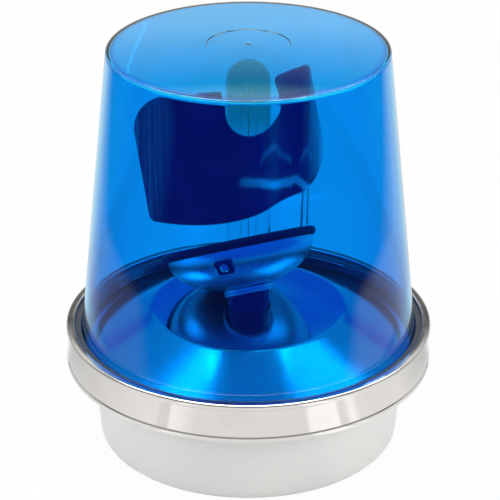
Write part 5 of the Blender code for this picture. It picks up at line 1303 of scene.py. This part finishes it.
inner = math_node(tree, "MAXIMUM", remap(tree, away, *INNER_NEAR), remap(tree, y, *INNER_BACK))
ripple = node(tree, "ShaderNodeTexNoise", {"Scale": 45.0, "Detail": 2.0}, noise_dimensions="1D")
tree.links.new(from_front, ripple.inputs["W"])
off_card = math_node(tree, "ABSOLUTE", math_node(tree, "SUBTRACT", y, CARD_Y))
extra = chain(tree, "MULTIPLY", remap(tree, x, *CARD_X), remap(tree, off_card, *CARD_REACH),
              remap(tree, ripple.outputs[0], *CARD_RIPPLE))
for centre, radius, width, start, strength in ARCS:
    reach = node(tree, "ShaderNodeVectorMath", {0: spot, 1: centre}, operation="DISTANCE")
    off_arc = math_node(tree, "ABSOLUTE", math_node(tree, "SUBTRACT", reach.outputs["Value"], radius))
    arc = chain(tree, "MULTIPLY", remap(tree, off_arc, width, width * 0.4), remap(tree, x, *ARC_X),
                remap(tree, y, start, start + 0.04), remap(tree, y, *ARC_END), strength)
    extra = math_node(tree, "ADD", extra, arc)
extra = math_node(tree, "MULTIPLY", extra, deep)
print("strip lights:", len(ARCS))

# %% [markdown]
# The floor's material then shows the right one of these to each mirrored ray, plain white to the camera,
# and a matt white to the lamps, so that the light's soft shadow stays.

# %% Floor's material
FLOOR_SHARE = 0.95
WHITE = (1, 1, 1, 1)
met = colour_mix(tree, inside, outer, colour_mix(tree, inner, DARK_BLUE, WHITE))
colour = node(tree, "ShaderNodeVectorMath", {0: colour_mix(tree, mirrored, WHITE, met), 1: extra})
glow = node(tree, "ShaderNodeEmission", {"Color": colour.outputs[0]})
seen = math_node(tree, "MULTIPLY", seen, blended(tree, FLOOR_SHARE, 1.0, mirrored))
blend = node(tree, "ShaderNodeMixShader", {0: seen, 1: matt.outputs[0], 2: glow.outputs[0]})
tree.links.new(blend.outputs[0], tree.nodes["Material Output"].inputs["Surface"])
print("floor's material has", len(tree.nodes), "nodes")

# %% [markdown]
# The surround is white to the camera. A mirrored ray meets a dark room instead: dim behind, grey in front,
# blue for the pieces inside the dome, with a pale sweep low down behind, which is the haze that the
# dome's top mirrors, and a bright ceiling right above for the rolled edges of metal.

# %% Surround
WORLD_LIGHT = 0.72
ROOM_BACK = 0.08
ROOM_FRONT = 0.42
ROOM_SIDES = (0.1, -0.2)
ROOM_TOP = 8.0
CEILING = (0.86, 0.93)
ROOM_BLUE = (0.01, 0.20, 0.80, 1)
SWEEP_BACK, SWEEP_LOW, SWEEP_HIGH = (-0.1, 0.4), (0.455, 0.285, 0.0, 0.80), (0.455, 0.50)

world = bpy.data.worlds.new("studio")
bpy.context.scene.world = world
world.use_nodes = True
tree = world.node_tree
seen, mirrored, inside, _, outside_only = background_rays(tree)
_, y, z = split(tree, node(tree, "ShaderNodeTexCoord").outputs["Generated"])
sweep = math_node(tree, "MULTIPLY", remap(tree, y, *SWEEP_BACK), math_node(
    tree, "MAXIMUM", remap(tree, z, *SWEEP_LOW), remap(tree, z, *SWEEP_HIGH)))
ceiling = math_node(tree, "MULTIPLY", outside_only, remap(tree, z, *CEILING, 0.0, ROOM_TOP))
grey = math_node(tree, "ADD", remap(tree, y, *ROOM_SIDES, ROOM_BACK, ROOM_FRONT), ceiling)
room = colour_mix(tree, sweep, colour_mix(tree, inside, grey, ROOM_BLUE), WHITE)
backing = tree.nodes["Background"]
tree.links.new(colour_mix(tree, mirrored, WHITE, room), backing.inputs["Color"])
tree.links.new(blended(tree, WORLD_LIGHT, 1.0, seen), backing.inputs["Strength"])
print("surround has", len(tree.nodes), "nodes")

# %% [markdown]
# One large soft lamp overhead and two at the sides light it. Two more boxes above are for the metal alone:
# they are mirrored as two bright streaks in the deck's cone, with a darker gap between. The lamps are low
# in strength, so that a colour renders about as it is written.

# %% Lamps
def softbox(name, spot, target, size, power, colour=(1, 1, 1), only_mirrored=False):
    """A rectangular lamp at a spot, turned to face a target."""
    lamp = bpy.data.lights.new(name, "AREA")
    lamp.shape = "RECTANGLE"
    lamp.size, lamp.size_y = size
    lamp.energy = power
    lamp.color = colour
    box = bpy.data.objects.new(name, lamp)
    box.location = spot
    box.rotation_euler = (Vector(target) - Vector(spot)).to_track_quat("-Z", "Y").to_euler()
    box.visible_diffuse = not only_mirrored
    box.visible_glossy = only_mirrored
    box.visible_transmission = only_mirrored
    bpy.context.scene.collection.objects.link(box)
    print(name, power, "W,", size, "m")


softbox("overhead", (0.0, -0.10, 1.30), (0, 0, 0.1), (0.9, 0.7), 6.0)
softbox("left_side", (-1.00, -0.45, 0.60), (0, 0, 0.1), (0.5, 0.8), 3.4)
softbox("right_side", (1.00, -0.55, 0.55), (0, 0, 0.1), (0.4, 0.8), 4.0, (1.0, 0.98, 0.95))
softbox("streak_left", (-0.67, 0.10, 1.25), (0, 0, 0.06), (0.42, 0.75), 6.8, only_mirrored=True)
softbox("streak_right", (0.74, 0.25, 1.20), (0, 0, 0.06), (0.54, 0.90), 6.2, only_mirrored=True)

# %% [markdown]
# The camera was fitted to the ellipses of the ring, the dome's top and the base: it stands in front, a
# little over half a metre up, and looks down by about 25 degrees with a long lens.

# %% Camera
camera_data = bpy.data.cameras.new("camera")
camera_data.lens = 159.48
camera_data.sensor_width = 36.0
camera_data.shift_x = 1.6 / 500
camera = bpy.data.objects.new("camera", camera_data)
camera.location = (0, -0.929, 0.536)
camera.rotation_euler = (math.radians(64.49), 0, 0)
bpy.context.scene.collection.objects.link(camera)
bpy.context.scene.camera = camera
bpy.context.scene.view_settings.view_transform = "Standard"
print("camera looks down by", round(90 - math.degrees(camera.rotation_euler.x), 1), "degrees")
